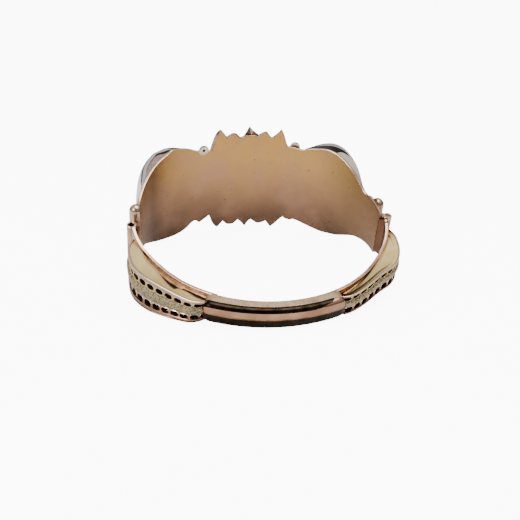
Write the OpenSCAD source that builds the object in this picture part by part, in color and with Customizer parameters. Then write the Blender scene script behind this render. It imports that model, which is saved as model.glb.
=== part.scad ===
// Hinged gold bangle, lying on its side as it rests on a table.
// A tall curved plaque with a toothed crest faces the front. The narrow rear half is a band
// with a half-round back and a hollow pierced box on each shoulder.
// Every module is drawn in the bangle's own frame: x to the right, y from the wrist towards
// the plaque, z along the wrist. place_at_rest() then tips it onto its resting points.

/* [Wrist opening] */
// Width inside the closed bangle, from hinge to catch
inner_w = 59; // [58:0.5:60]
// Depth inside the front half, from the joint line to the plaque
front_depth = 25.3; // [25.1:0.1:26]
// Depth inside the rear half, from the joint line to the back
rear_depth = 25.6; // [25.2:0.1:26]
// Radius inside the front half's ends
front_end_r = 24.8; // [24.4:0.1:24.9]
// Radius inside the rear half's ends
rear_end_r = 23.5; // [23.2:0.1:23.8]

/* [Plaque] */
// Thickness of the plaque's back plate
plate_t = 0.7; // [0.6:0.1:0.8]
// Height of the raised centre ornament over the plate
relief_t = 0.8; // [0.5:0.1:1.2]
// Height of the domes over the plate, at their middle
dome_h = 6.5; // [6:0.1:6.8]
// Radius of the domes round the wrist
dome_round_r = 11; // [10.6:0.1:11.6]
// Radius of the domes along the wrist
dome_tall_r = 23.5; // [22:0.5:26]
// Thickness of the domes' hollow shells
dome_shell = 0.6; // [0.5:0.1:0.8]
// Margin of bare plate round the domes
dome_margin = 0.5; // [0.4:0.1:1]
// Diameter of the pierced beads between the crest and the domes
bead_d = 2.7; // [2.4:0.1:3]
// Diameter of the beads' holes
bead_hole_d = 0.7; // [0.5:0.1:1]
// Diameter of the upright bars beside the end tubes
end_bar_d = 3.4; // [3:0.1:3.6]
// Height of the upright bars above the middle
end_bar_top = 8.2; // [7:0.1:8.6]
// Length of the upright bars below the middle
end_bar_low = 6.4; // [5.6:0.1:6.8]

/* [Hinge and catch] */
// Distance of the hinge pin and the catch tube from the middle
pin_x = 31.8; // [31.7:0.05:32]
// Distance of the hinge pin and the catch tube before the joint line
pin_y = 0.6; // [0.5:0.05:0.7]
// Outer diameter of the tubes
tube_d = 2.3; // [2.2:0.05:2.4]
// Bore of the hinge's tubes
hinge_bore_d = 1.1; // [1:0.05:1.2]
// Bore of the open tube over the catch
catch_bore_d = 1.6; // [1.4:0.05:1.7]
// Height of the tubes
tube_h = 11.4; // [10.4:0.2:12]
// How much lower the catch tube's top is
catch_tube_drop = 0.4; // [0:0.1:0.8]
// Height of the hinge's middle tube
middle_tube_h = 3.8; // [3.4:0.2:4.2]
// Gap between the hinge's tubes
tube_gap = 0.1; // [0.08:0.02:0.2]
// Running clearance round the hinge pin
pin_clear = 0.04; // [0.02:0.01:0.08]
// Gap between the two halves at each joint
joint_gap = 0.12; // [0.1:0.02:0.2]
// Thickness of the catch tongue
tongue_t = 0.35; // [0.3:0.05:0.4]
// Height of the catch tongue
tongue_h = 3; // [2.6:0.2:3.2]
// Length of the catch tongue before the joint line
tongue_root = 3.4; // [3:0.1:3.6]
// Length of the catch tongue behind the joint line
tongue_reach = 6.2; // [5:0.2:7]
// Gap round the catch tongue
tongue_gap = 0.1; // [0.08:0.02:0.12]

/* [Rear band] */
// Height of the band at the back
band_h = 5.7; // [5.2:0.1:6]
// Thickness of the half-round back
back_t = 3.65; // [3.4:0.05:3.8]
// Radius of the half-round back's outer edges
back_edge_r = 1.3; // [1:0.1:1.6]
// Half width of the half-round back
back_half_w = 17.4; // [16.6:0.2:18]
// Height of the band at the joints
band_end_h = 11; // [10:0.2:11.4]
// Thickness of the band at the joints
band_end_t = 0.7; // [0.6:0.05:0.8]
// Thickness of the band behind the shoulders
band_side_t = 2.9; // [2.7:0.1:3.1]

/* [Shoulder boxes] */
// Thickness of the boxes' walls
box_wall = 0.6; // [0.5:0.1:0.7]
// Depth of the bulged middle panels over the walls
panel_bulge = 0.8; // [0.5:0.1:1]
// Depth of the rims over the walls
rim_d = 0.35; // [0.2:0.05:0.45]
// Height of the rims
rim_h = 0.7; // [0.6:0.1:0.8]
// Distance between piercings
piercing_pitch = 2.45; // [2.3:0.05:3]
// Width of the piercings
piercing_w = 1.5; // [1.2:0.1:1.6]

/* [Hidden] */
$fn = 96;

GOLD = "#c9a877";
PALE_GOLD = "#d9cfa2";
ROSE_GOLD = "#cfa68c";

// Tilt that brings the lower edges of the wings and of the back onto the table
rest_tilt = 14.1;
// Place of the tilted bangle's middle, over an origin on the table
rest_y = -0.46;
rest_z = 9.613;

// Reach of the shapes that cut others
ample = 80;
// Overlap of shapes that are one piece of metal
bite = 0.1;

half_w = inner_w / 2;
front_end_x = half_w - front_end_r;
rear_end_x = half_w - rear_end_r;

// The left wing is bent a little squarer: x and y of the centre of its inner arc, radius
LEFT_CORNER = [-8.2, 3, 21.5];
// How far the parts on the right and on the left wing stand off the right end's arc
DOME_OUT = [0, 0.6];
BEAD_OUT = [0.15, 0.55];
BAR_OUT = [0, 0.7];

// The crest's upper edge, from left to right: x and z. Each run ends at a corner, and the
// next one starts there.
CREST_TOP = [
    [[-9.9, 10.3], [-9.2, 13.1], [-8.5, 15.1], [-7.7, 16]],
    [[-6.6, 14.4], [-6, 13.6]],
    [[-5.4, 14.1], [-4.1, 14.7], [-2.9, 13.6], [-2.4, 13.2]],
    [[-1.2, 13.9], [1, 13.9], [1.7, 13.7]],
    [[2.4, 14.2], [3.9, 15], [5, 13.7], [5.4, 13.3]],
    [[6.2, 13.9], [7.8, 15.9]],
    [[8.6, 14.1], [9.5, 11.3], [10, 10.9]]
];
// The crest's lower edge, in the same order
CREST_BOTTOM = [
    [[-12.8, -13.3], [-11.2, -12.1], [-10.1, -11.2]],
    [[-9.7, -11.8], [-8.9, -14.1], [-7.7, -15.5], [-6.6, -14.3], [-6.1, -13.6]],
    [[-5, -14.8], [-4, -15], [-3, -14.8], [-1.9, -13.6]],
    [[-1.2, -14.2], [0.2, -15.9]],
    [[1.1, -14.2], [1.8, -13.6]],
    [[3.2, -14.7], [4.1, -14.9], [5, -14.6], [5.9, -14]],
    [[7.4, -16]],
    [[8.3, -15], [10, -12.7], [10.6, -12.1]],
    [[12, -12.8], [12.7, -12.8], [13.4, -12.3]]
];
// The spike that the relief carries above the middle: x and z
CREST_SPIKE = [[-2.4, 12], [-1.5, 13.9], [-0.4, 16.4], [0.6, 15.1], [1.5, 13.9], [2.4, 12]];
// How far the relief stays inside the plate's upper and lower edges
relief_inset = 0.5;

// Angle of the middle of a wing, from the y axis
wing_a = 45;
// Upper edges of the right and of the left wing: distance along it from its middle, and z
WING_TOP = [
    [[-14, 10.9], [-12, 10.9], [-10, 10.6], [-8, 11.5], [-4.6, 12.5], [-2.6, 12.6],
        [-0.4, 12.2], [3.7, 10.4], [7.2, 8.2], [8.9, 7], [9.9, 6.5], [11, 6.5],
        [12.2, 7], [18.5, 6.9]],
    [[-14, 10], [-10.7, 10.3], [-8.5, 11.4], [-6.2, 12.3], [-3.5, 12.9], [-1.6, 12.2],
        [2.8, 11.1], [7.9, 9.1], [12, 7.6], [15, 7.2], [18.5, 7]]
];
// Lower edges of the wings, in the same way
WING_BOTTOM = [
    [[-10.8, -12.3], [-9.1, -12.7], [-6.5, -13.4], [-3, -13.8], [-1, -13.5], [2.7, -12.3],
        [8, -9], [10.4, -7.9], [13.2, -6.9], [18.5, -5.6]],
    [[-11.4, -13.4], [-10.5, -12.4], [-9.7, -12.5], [-8.1, -14], [-6.5, -14.9], [-4, -15.2],
        [-0.8, -14.6], [2.5, -13.4], [6.4, -11.2], [9, -9.7], [15, -7.5], [18.5, -6.6]]
];
// How far the wings' outlines reach into the crest
wing_from = -15.5;
// Where the right and the left dome start along their wings, and where they end
DOME_FROM = [-10.8, -10.4];
dome_to = 10.4;
// Shift of the right and of the left dome's middle along its wing, towards the crest
DOME_SHIFT = [2.4, 1.4];
// Angles of the beads beside the crest, on the right and on the left, and their heights
BEAD_A = [16.3, 17.7];
BEAD_Z = [
    [10.7, -11.9],
    [9.8, -11.9]
];
// Angle of the upright bars
end_bar_a = 80.5;
// Centre boss: radius, and depth of its centre behind the plaque
boss_r = 9;
boss_back = 6.2;

// How far behind the joint line the outer arc of the band's sides is centred
band_swell = 1.95;
// Where the band's sides reach their full height change, behind the joint line
band_rise_y = 18.3;
// The band's sides start this far from the middle, inside the half-round back
band_side_x = 15;

// Outer edge in plan of the right and of the left shoulder box, both drawn for the right: x and
// y of the centre and radius of the arc in front, the angle at which the longer arc behind it
// takes over, clockwise from the x axis, and that arc's radius
BOX_ARCS = [
    [19.9, -8.2, 12.45, 50, 99.25],
    [20.3, -10, 12.15, 52, 59.65]
];
// Where the boxes' front ends lie behind the joint line, and how far their rear ends reach
BOX_FRONT_Y = [-2.6, -3.3];
box_rear_x = 16.2;
// Angles at which the panels start on the arc in front and end on the arc behind
PANEL_ENDS = [[-22, 57.3], [-29, 63.6]];
// Step between the two rings of a panel
panel_step = 0.02;
// Piercings on the arc in front and on the arc behind: angle of the first one, and number
PIERCINGS = [
    [[-18.5, 6], [51.5, 5]],
    [[-23, 7], [53.8, 5]]
];
// How much smaller and closer to the middle the last piercing is than the first
piercing_fade = 0.25;
// Depth of a piercing's cut, and how much of its width is left above its middle
piercing_depth = 4;
flat_share = 1 / 6;
// The right and the left box where they are tallest: heights of the upper and lower cover,
// middle and height of the panel, heights of the upper and lower piercings
BOX_ROWS = [
    [4.1, -2.3, 1.4, 2.2, 3, -0.8],
    [4.7, -4.7, 0.2, 3.6, 2.9, -2.6]
];
// Outer edge of a box at its middle, and the way that it faces
box_edge = [28.7, -18.7];
box_a = 35.2;
// Slopes of a box's cover: down towards the band, and down towards the back
cover_in = 14;
cover_back = 3;
cover_t = 0.5;
// Slit in the cover at the catch: x and y of its middle, length, width, direction
SLIT = [-29, -10.6, 2.7, 0.45, -62];

// Radius and centre of the middle arc of a half oval: half width a, depth b, end radius r
function mid_r(a, b, r) = (pow(a - r, 2) / (b - r) + r + b) / 2;
function mid_y(a, b, r) = b - mid_r(a, b, r);
// Angle from the y axis at which the middle arc meets an end arc
function turn(a, b, r) = atan2(a - r, mid_r(a, b, r) - b);

// The angle that a length takes up on an arc
function degrees(length, r) = length / r * 180 / PI;
// Radius of an arc that rises by rise over a run
function arc_r(run, rise) = (run * run + rise * rise) / (2 * rise);

// A smooth curve through the rows of a table, with a number of steps between each two
function spline_at(p, t) = 0.5 * (2 * p[1] + (p[2] - p[0]) * t
    + (2 * p[0] - 5 * p[1] + 4 * p[2] - p[3]) * t * t
    + (3 * p[1] - p[0] - 3 * p[2] + p[3]) * t * t * t);
function smooth(rows, steps) = [
    for (i = [0 : len(rows) - 2], s = [0 : steps - 1])
        spline_at([rows[max(i - 1, 0)], rows[i], rows[i + 1], rows[min(i + 2, len(rows) - 1)]],
            s / steps),
    rows[len(rows) - 1]
];
function through_runs(runs, steps) = [
    for (i = [0 : len(runs) - 1])
        each smooth(i == 0 ? runs[0] : concat([runs[i - 1][len(runs[i - 1]) - 1]], runs[i]), steps)
];
function reversed(list) = [for (i = [len(list) - 1 : -1 : 0]) list[i]];

module both_sides() {
    children();
    mirror([1, 0, 0]) children();
}

// Moves a shape drawn for the right to its side: 0 is the right and 1 the left
module on_side(side) {
    mirror([side, 0, 0]) children();
}

module above_and_below() {
    children();
    mirror([0, 0, 1]) children();
}

module place_at_rest() {
    translate([0, rest_y, rest_z]) rotate([rest_tilt, 0, 0]) children();
}

// Stands a shape drawn in x and z up, and runs it out along y
module face_on() {
    rotate([90, 0, 0]) translate([0, 0, -ample]) linear_extrude(ample) children();
}

// Stands a shape drawn in y and z up, and runs it both ways along x
module side_on() {
    rotate([90, 0, 90]) linear_extrude(2 * ample, center = true) children();
}

module half_plane() {
    translate([-ample, 0]) square([2 * ample, ample]);
}

// The region inside a half oval, for y above zero, grown by g
module half_oval(a, b, r, g = 0) {
    half_turn = turn(a, b, r);
    intersection() {
        half_plane();
        union() {
            translate([0, mid_y(a, b, r)]) intersection() {
                circle(mid_r(a, b, r) + g);
                polygon([[0, 0], ample * [-tan(half_turn), 1], ample * [tan(half_turn), 1]]);
            }
            both_sides() translate([a - r, 0]) circle(r + g);
        }
    }
}

module front_oval(g = 0) {
    half_oval(half_w, front_depth, front_end_r, g);
    intersection() {
        half_plane();
        translate([LEFT_CORNER[0], LEFT_CORNER[1]]) circle(LEFT_CORNER[2] + g);
    }
}

module rear_oval(g = 0) {
    mirror([0, 1]) half_oval(half_w, rear_depth, rear_end_r, g);
}

// The front half's wall, between two distances outside the wrist opening
module front_wall(from, to) {
    linear_extrude(ample, center = true) difference() {
        front_oval(to);
        front_oval(from);
        translate([0, joint_gap / 2 - ample]) half_plane();
    }
}

module crest_outline() {
    polygon(concat(through_runs(CREST_TOP, 2), reversed(through_runs(CREST_BOTTOM, 2))));
}

// A wing's outline, drawn in by a margin
module wing_outline(side, margin) {
    upper = smooth([for (p = WING_TOP[side]) [p[0], p[1] - margin]], 2);
    lower = smooth([for (p = WING_BOTTOM[side]) [p[0], p[1] + margin]], 2);
    polygon(concat([[wing_from, 0]], upper, reversed(lower)));
}

// The right wing's place: its middle faces out along y
module at_wing() {
    translate([front_end_x, 0, 0]) rotate([0, 0, -wing_a]) children();
}

// A place on the plate's outer face, at an angle round an end's arc
module on_plate(side, angle, z, out) {
    on_side(side) translate([front_end_x, 0, z]) rotate([0, 0, -angle])
        translate([0, front_end_r + plate_t + out, 0]) children();
}

module plate() {
    intersection() {
        front_wall(0, plate_t);
        union() {
            face_on() crest_outline();
            for (side = [0, 1])
                on_side(side) at_wing() face_on() wing_outline(side, 0);
        }
    }
}

module crest_relief() {
    intersection() {
        front_wall(plate_t - bite, plate_t + relief_t);
        face_on() union() {
            intersection() {
                translate([0, relief_inset]) crest_outline();
                translate([0, -relief_inset]) crest_outline();
            }
            polygon(CREST_SPIKE);
        }
    }
    intersection() {
        front_wall(plate_t, plate_t + relief_t + dome_h);
        translate([0, front_depth + plate_t - boss_back, 0]) sphere(boss_r);
    }
}

// A body with one radius round the wrist and another along it, drawn in by a skin
module dome_body(side, skin) {
    crown = front_end_r + plate_t + dome_h + DOME_OUT[side];
    translate([-DOME_SHIFT[side], crown - dome_round_r, 0]) rotate_extrude() intersection() {
        translate([dome_round_r - dome_tall_r, 0]) circle(dome_tall_r - skin);
        translate([0, -ample]) square([ample, 2 * ample]);
    }
}

// The stretch of the wing that a dome covers, less a skin at its edges
module dome_outline(side, skin) {
    intersection() {
        wing_outline(side, dome_margin + skin);
        translate([DOME_FROM[side] + skin, -ample])
            square([dome_to - DOME_FROM[side] - 2 * skin, 2 * ample]);
    }
}

module dome_solid(side, skin) {
    on_side(side) at_wing() intersection() {
        face_on() dome_outline(side, skin);
        dome_body(side, skin);
    }
}

module dome(side) {
    difference() {
        intersection() {
            front_wall(plate_t - bite, ample / 4);
            dome_solid(side, 0);
        }
        intersection() {
            front_wall(plate_t, ample / 4);
            dome_solid(side, dome_shell);
        }
    }
}

// Beads with a hole in the back, where they stand above and below the plate
module beads(side) {
    intersection() {
        front_wall(plate_t / 2, ample / 4);
        for (z = BEAD_Z[side]) on_plate(side, BEAD_A[side], z, BEAD_OUT[side]) difference() {
            sphere(d = bead_d, $fn = 32);
            rotate([90, 0, 0]) cylinder(d = bead_hole_d, h = bead_d, center = true, $fn = 16);
        }
    }
}

module end_bar(side) {
    r = end_bar_d / 2;
    intersection() {
        front_wall(plate_t / 2, ample / 4);
        on_plate(side, end_bar_a, 0, BAR_OUT[side]) {
            translate([0, 0, r - end_bar_low])
                cylinder(d = end_bar_d, h = end_bar_top + end_bar_low - 2 * r, $fn = 48);
            for (z = [end_bar_top - r, r - end_bar_low])
                translate([0, 0, z]) sphere(d = end_bar_d, $fn = 48);
        }
    }
}

// A tube round the right-hand pin line between two heights, with the web that carries it
module hinge_tube(from, to, web) {
    translate([0, 0, from]) {
        translate([pin_x, pin_y, 0]) cylinder(d = tube_d, h = to - from);
        linear_extrude(to - from) polygon(web);
    }
}

module hinge_bore(d) {
    translate([pin_x, pin_y, 0]) cylinder(d = d, h = ample, center = true);
}

// The path of the catch tongue, an arc round the hinge pin, grown by a gap
module tongue_arc(gap) {
    mid = pin_x + half_w + plate_t + tongue_gap + tongue_t / 2;
    translate([pin_x, 0, 0]) intersection() {
        translate([0, pin_y, 0]) difference() {
            cylinder(r = mid + tongue_t / 2 + gap, h = tongue_h + 2 * gap, center = true, $fn = 240);
            cylinder(r = mid - tongue_t / 2 - gap, h = ample, center = true, $fn = 240);
        }
        translate([-ample, -tongue_reach - gap, -ample])
            cube([ample, tongue_root + tongue_reach + 2 * gap, 2 * ample]);
    }
}

module front_plaque() {
    top = tube_h / 2;
    inner_end = middle_tube_h / 2 + tube_gap;
    web = [
        [half_w + plate_t / 2, joint_gap / 2],
        [pin_x, joint_gap / 2],
        [pin_x, pin_y + tube_d / 2],
        [half_w + plate_t / 2, pin_y + tube_d]
    ];
    color(GOLD) difference() {
        union() {
            plate();
            crest_relief();
            for (side = [0, 1]) {
                dome(side);
                beads(side);
                end_bar(side);
            }
            above_and_below() hinge_tube(inner_end, top, web);
            mirror([1, 0, 0]) hinge_tube(-top, top - catch_tube_drop, web);
            mirror([1, 0, 0]) tongue_socket();
        }
        hinge_bore(hinge_bore_d);
        mirror([1, 0, 0]) hinge_bore(catch_bore_d);
        tongue_arc(tongue_gap);
    }
}

// The block between the plate and the upright bar that holds the tongue's root
module tongue_socket() {
    translate([half_w, joint_gap / 2, 0]) linear_extrude(tongue_h + 2 * box_wall, center = true)
        square([pin_x - half_w, tongue_root + 2 * tongue_gap]);
}

module hinge_pin() {
    color(ROSE_GOLD) translate([pin_x, pin_y, 0])
        cylinder(d = hinge_bore_d - 2 * pin_clear, h = tube_h - 4 * tube_gap, center = true);
}

module catch_tongue() {
    color(ROSE_GOLD) tongue_arc(0);
}

// The disc whose edge is the outside of the band's right side, grown by g. Its centre lies
// off the inner arc's, so that the band is thin at the joint and thicker towards the back.
// The wrist opening is cut out of the whole band at once, in rear_band().
module band_outer_arc(g = 0) {
    fade = 90 - turn(half_w, rear_depth, rear_end_r);
    shift = (band_end_t - band_side_t + band_swell * sin(fade)) / (1 - cos(fade));
    translate([rear_end_x + shift, -band_swell]) circle(rear_end_r + band_end_t - shift + g);
}

module band_side_plan() {
    difference() {
        both_sides() band_outer_arc();
        translate([0, -joint_gap / 2]) half_plane();
        square([2 * band_side_x, ample], center = true);
    }
}

// Half the height of the band's sides, seen along x
module band_side_height() {
    rise = (band_end_h - band_h) / 2;
    translate([-ample, 0]) square([ample, band_h / 2]);
    difference() {
        translate([-band_rise_y, 0]) square([band_rise_y, band_end_h / 2]);
        translate([-band_rise_y, band_h / 2 + arc_r(band_rise_y, rise)])
            circle(arc_r(band_rise_y, rise), $fn = 360);
    }
}

module band_sides() {
    intersection() {
        linear_extrude(ample, center = true) band_side_plan();
        above_and_below() side_on() band_side_height();
    }
}

// The half-round back: a bar with round outer edges, swept round the middle arc, which
// reaches a little into the wrist opening
module band_back() {
    inside_r = mid_r(half_w, rear_depth, rear_end_r);
    half_angle = asin(back_half_w / (inside_r + back_t / 2));
    edge = band_h / 2 - back_edge_r;
    translate([0, -mid_y(half_w, rear_depth, rear_end_r), 0])
        rotate([0, 0, -90 - half_angle]) rotate_extrude(angle = 2 * half_angle)
            translate([inside_r, 0]) {
                translate([-bite, -band_h / 2]) square([back_t - back_edge_r + bite, band_h]);
                translate([-bite, -edge]) square([back_t + bite, 2 * edge]);
                for (z = [-edge, edge])
                    translate([back_t - back_edge_r, z]) circle(back_edge_r, $fn = 48);
            }
}

// Draws on the arcs of a box: the first child on the arc in front, the second on the arc
// behind. Each has its arc's centre at the origin, and the arcs meet on the x axis.
module on_box_arcs(side) {
    arcs = BOX_ARCS[side];
    translate([arcs[0], arcs[1], 0]) rotate([0, 0, -arcs[3]]) {
        children(0);
        translate([arcs[2] - arcs[4], 0, 0]) children(1);
    }
}

// A shoulder box in plan, its edges moved out by g
module box_plan(side, g) {
    difference() {
        on_box_arcs(side) {
            intersection() {
                circle(BOX_ARCS[side][2] + g);
                half_plane();
            }
            intersection() {
                circle(BOX_ARCS[side][4] + g);
                mirror([0, 1]) half_plane();
            }
        }
        translate([0, BOX_FRONT_Y[side] + min(g, 0)]) half_plane();
        translate([box_rear_x - min(g, 0) - ample, -ample]) square([ample, 2 * ample]);
        band_outer_arc(-bite);
    }
}

// Everything below a cover whose outer edge is at a height
module under_cover(height) {
    translate([box_edge[0], box_edge[1], height]) rotate([0, 0, -box_a])
        rotate([cover_back, -cover_in, 0]) translate([-ample / 2, -ample / 2, -ample / 2])
            cube([ample, ample, ample / 2]);
}

// A box's block, its edges moved out by g and its covers by cover
module box_prism(side, g, cover) {
    intersection() {
        linear_extrude(ample, center = true) box_plan(side, g);
        under_cover(BOX_ROWS[side][0] + cover);
        mirror([0, 0, 1]) under_cover(cover - BOX_ROWS[side][1]);
    }
}

// A ring of lens section on an arc of a radius, between two angles, rooted in the box's wall
module panel_ring(r, from, to, height) {
    bulge_r = arc_r(height / 2, panel_bulge);
    rotate([0, 0, from]) rotate_extrude(angle = to - from) intersection() {
        translate([r + panel_bulge - bulge_r, 0]) circle(bulge_r);
        translate([r - box_wall / 2, -height / 2]) square([box_wall + panel_bulge, height]);
    }
}

// The bulged middle panel, in two rings. The one behind enters the one in front and is a
// hair's breadth smaller, so that no two faces coincide.
module box_panel(side) {
    height = BOX_ROWS[side][3];
    front_r = BOX_ARCS[side][2];
    rear_r = BOX_ARCS[side][4] - panel_step;
    corner = BOX_ARCS[side][3];
    translate([0, 0, BOX_ROWS[side][2]]) on_box_arcs(side) {
        panel_ring(front_r, 0, corner - PANEL_ENDS[side][0], height);
        panel_ring(rear_r, corner - PANEL_ENDS[side][1], degrees(bite, rear_r), height);
    }
}

// One piercing of a width: flat above and round below
module piercing(w) {
    rotate([0, 90, 0]) intersection() {
        cylinder(d = w, h = piercing_depth, center = true, $fn = 24);
        translate([-w * flat_share, -w / 2, -piercing_depth / 2]) cube([w, w, piercing_depth]);
    }
}

// The piercings of both rows on an arc of a radius, whose piercings fade from one share of
// their full size to another
module arc_piercings(side, r, row, fade) {
    corner = BOX_ARCS[side][3];
    step = degrees(piercing_pitch, r);
    for (k = [0 : row[1] - 1], z = [BOX_ROWS[side][4], BOX_ROWS[side][5]]) {
        size = 1 - fade * k / (row[1] - 1);
        rotate([0, 0, corner - row[0] - k * step]) translate([r, 0, z * size])
            piercing(piercing_w * size);
    }
}

module box_piercings(side) {
    on_box_arcs(side) {
        arc_piercings(side, BOX_ARCS[side][2], PIERCINGS[side][0], 0);
        arc_piercings(side, BOX_ARCS[side][4], PIERCINGS[side][1], piercing_fade);
    }
}

// A hollow shoulder box, drawn for the right side
module shoulder_box(side) {
    difference() {
        union() {
            box_prism(side, 0, 0);
            difference() {
                box_prism(side, rim_d, 0);
                box_prism(side, ample, -rim_h);
            }
            box_panel(side);
        }
        difference() {
            box_prism(side, -box_wall, -cover_t);
            linear_extrude(ample, center = true) band_side_plan();
        }
        box_piercings(side);
    }
}

module catch_slit() {
    translate([SLIT[0], SLIT[1], 0]) rotate([0, 0, SLIT[4]])
        translate([-SLIT[2] / 2, -SLIT[3] / 2, band_h / 2]) cube([SLIT[2], SLIT[3], band_h]);
}

module rear_band() {
    half_tube = middle_tube_h / 2;
    web = [
        [half_w + band_end_t / 2, -joint_gap / 2],
        [pin_x - tube_d / 2, -joint_gap / 2],
        [pin_x, pin_y],
        [pin_x + tube_d / 2, pin_y - tube_d / 4],
        [pin_x - bite, -4],
        [half_w + bite, -4]
    ];
    color(PALE_GOLD) difference() {
        union() {
            band_sides();
            band_back();
            for (side = [0, 1]) on_side(side) shoulder_box(side);
            hinge_tube(-half_tube, half_tube, web);
        }
        linear_extrude(ample, center = true) rear_oval();
        hinge_bore(hinge_bore_d);
        tongue_arc(tongue_gap);
        catch_slit();
    }
}

place_at_rest() front_plaque();
place_at_rest() rear_band();
place_at_rest() hinge_pin();
place_at_rest() catch_tongue();
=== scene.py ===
# The looks of a hinged gold bangle that lies on its side on a pale floor.
# Sizes are in millimetres, in the bangle's own frame: x to the right, y from the wrist towards
# the plaque, z along the wrist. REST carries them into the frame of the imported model, in metres.
# Side 0 is the right and side 1 the left; tables for both sides are drawn for the right.
import functools
import math

import bpy
import bmesh
from mathutils import Matrix, Vector, noise


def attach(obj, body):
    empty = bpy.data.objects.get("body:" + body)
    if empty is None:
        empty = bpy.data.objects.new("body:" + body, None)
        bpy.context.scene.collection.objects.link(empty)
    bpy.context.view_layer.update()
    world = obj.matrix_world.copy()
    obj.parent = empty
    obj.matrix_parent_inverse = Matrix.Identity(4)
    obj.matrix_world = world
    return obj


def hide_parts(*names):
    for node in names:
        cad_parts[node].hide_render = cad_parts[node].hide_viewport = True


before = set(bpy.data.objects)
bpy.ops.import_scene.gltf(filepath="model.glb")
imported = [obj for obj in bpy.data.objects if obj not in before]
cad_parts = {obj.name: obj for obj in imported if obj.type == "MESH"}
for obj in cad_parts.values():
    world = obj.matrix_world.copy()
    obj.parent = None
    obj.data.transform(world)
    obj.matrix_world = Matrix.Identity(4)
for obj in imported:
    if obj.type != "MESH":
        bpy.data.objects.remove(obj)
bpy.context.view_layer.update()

# The resting place of the bangle's own frame
REST_TILT = math.radians(14.1)
REST_Y = -0.46
REST_Z = 9.613
MM = 0.001
REST = (
    Matrix.Scale(MM, 4)
    @ Matrix.Translation((0, REST_Y, REST_Z))
    @ Matrix.Rotation(REST_TILT, 4, "X")
)

# Wrist opening: half width, depths of the front and rear halves, and their end radii
HALF_W = 29.5
FRONT_DEPTH = 25.3
REAR_DEPTH = 25.6
FRONT_END_R = 24.8
REAR_END_R = 23.5
FRONT_END_X = HALF_W - FRONT_END_R
REAR_END_X = HALF_W - REAR_END_R
JOINT_GAP = 0.06

# The left wing's squarer corner: centre and radius, and how softly it meets the rest
LEFT_CORNER = (-8.2, 3.0)
LEFT_CORNER_R = 21.5
CORNER_BLEND = 0.25

# Plaque
PLATE_T = 0.7
RELIEF_T = 0.8
RELIEF_INSET = 0.5
RIM_R = 0.14
# The crest's upper and lower edge, from left to right: x and z. Each run ends at a corner,
# and the next run starts there.
CREST_TOP = [
    [(-9.9, 10.3), (-9.2, 13.1), (-8.5, 15.1), (-7.7, 16)],
    [(-6.6, 14.4), (-6, 13.6)],
    [(-5.4, 14.1), (-4.1, 14.7), (-2.9, 13.6), (-2.4, 13.2)],
    [(-1.2, 13.9), (1, 13.9), (1.7, 13.7)],
    [(2.4, 14.2), (3.9, 15), (5, 13.7), (5.4, 13.3)],
    [(6.2, 13.9), (7.8, 15.9)],
    [(8.6, 14.1), (9.5, 11.3), (10, 10.9)],
]
CREST_BOTTOM = [
    [(-12.8, -13.3), (-11.2, -12.1), (-10.1, -11.2)],
    [(-9.7, -11.8), (-8.9, -14.1), (-7.7, -15.5), (-6.6, -14.3), (-6.1, -13.6)],
    [(-5, -14.8), (-4, -15), (-3, -14.8), (-1.9, -13.6)],
    [(-1.2, -14.2), (0.2, -15.9)],
    [(1.1, -14.2), (1.8, -13.6)],
    [(3.2, -14.7), (4.1, -14.9), (5, -14.6), (5.9, -14)],
    [(7.4, -16)],
    [(8.3, -15), (10, -12.7), (10.6, -12.1)],
    [(12, -12.8), (12.7, -12.8), (13.4, -12.3)],
]
# The spike that stands up behind the crest's middle: x and z of its outline and of its ridge
SPIKE = [(-2, 13), (-1.5, 13.9), (-0.4, 16.4), (0.6, 15.1), (2, 13.9), (2.6, 13)]
SPIKE_RIDGE = (0.2, 13.4)
# Edges of the wings: distance along the wing from its middle, and height
WING_TOP = (
    [(-14, 10.9), (-12, 10.9), (-10, 10.6), (-8, 11.5), (-4.6, 12.5), (-2.6, 12.6), (-0.4, 12.2),
     (3.7, 10.4), (7.2, 8.2), (8.9, 7), (9.9, 6.5), (11, 6.5), (12.2, 7), (18.5, 6.9)],
    [(-14, 10), (-10.7, 10.3), (-8.5, 11.4), (-6.2, 12.3), (-3.5, 12.9), (-1.6, 12.2),
     (2.8, 11.1), (7.9, 9.1), (12, 7.6), (15, 7.2), (18.5, 7)],
)
WING_BOTTOM = (
    [(-10.8, -12.3), (-9.1, -12.7), (-6.5, -13.4), (-3, -13.8), (-1, -13.5), (2.7, -12.3), (8, -9),
     (10.4, -7.9), (13.2, -6.9), (18, -5.7)],
    [(-11.4, -13.4), (-10.5, -12.4), (-9.7, -12.5), (-8.1, -14), (-6.5, -14.9), (-4, -15.2),
     (-0.8, -14.6), (2.5, -13.4), (6.4, -11.2), (9, -9.7), (15, -7.5), (18.5, -6.6)],
)

# Domes: the stretch of wing that they cover and the margin to its edges; height, radius, shift
# and lift of the crown; the middle of the face and how fully it swells; and the rows in each of
# the three zones of the steep side
DOME_FROM = (-10.8, -10.4)
DOME_TO = 10.4
DOME_MARGIN = 0.5
DOME_H = 6.5
DOME_ROUND_R = (11.5, 11)
DOME_SHIFT = (2.4, 1)
DOME_OUT = (0, 0.6)
DOME_MIDDLE = ((-2, -1), (-0.7, -1))
DOME_SWELL = (0.55, 0.42)
SIDE_ROWS = 4
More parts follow.
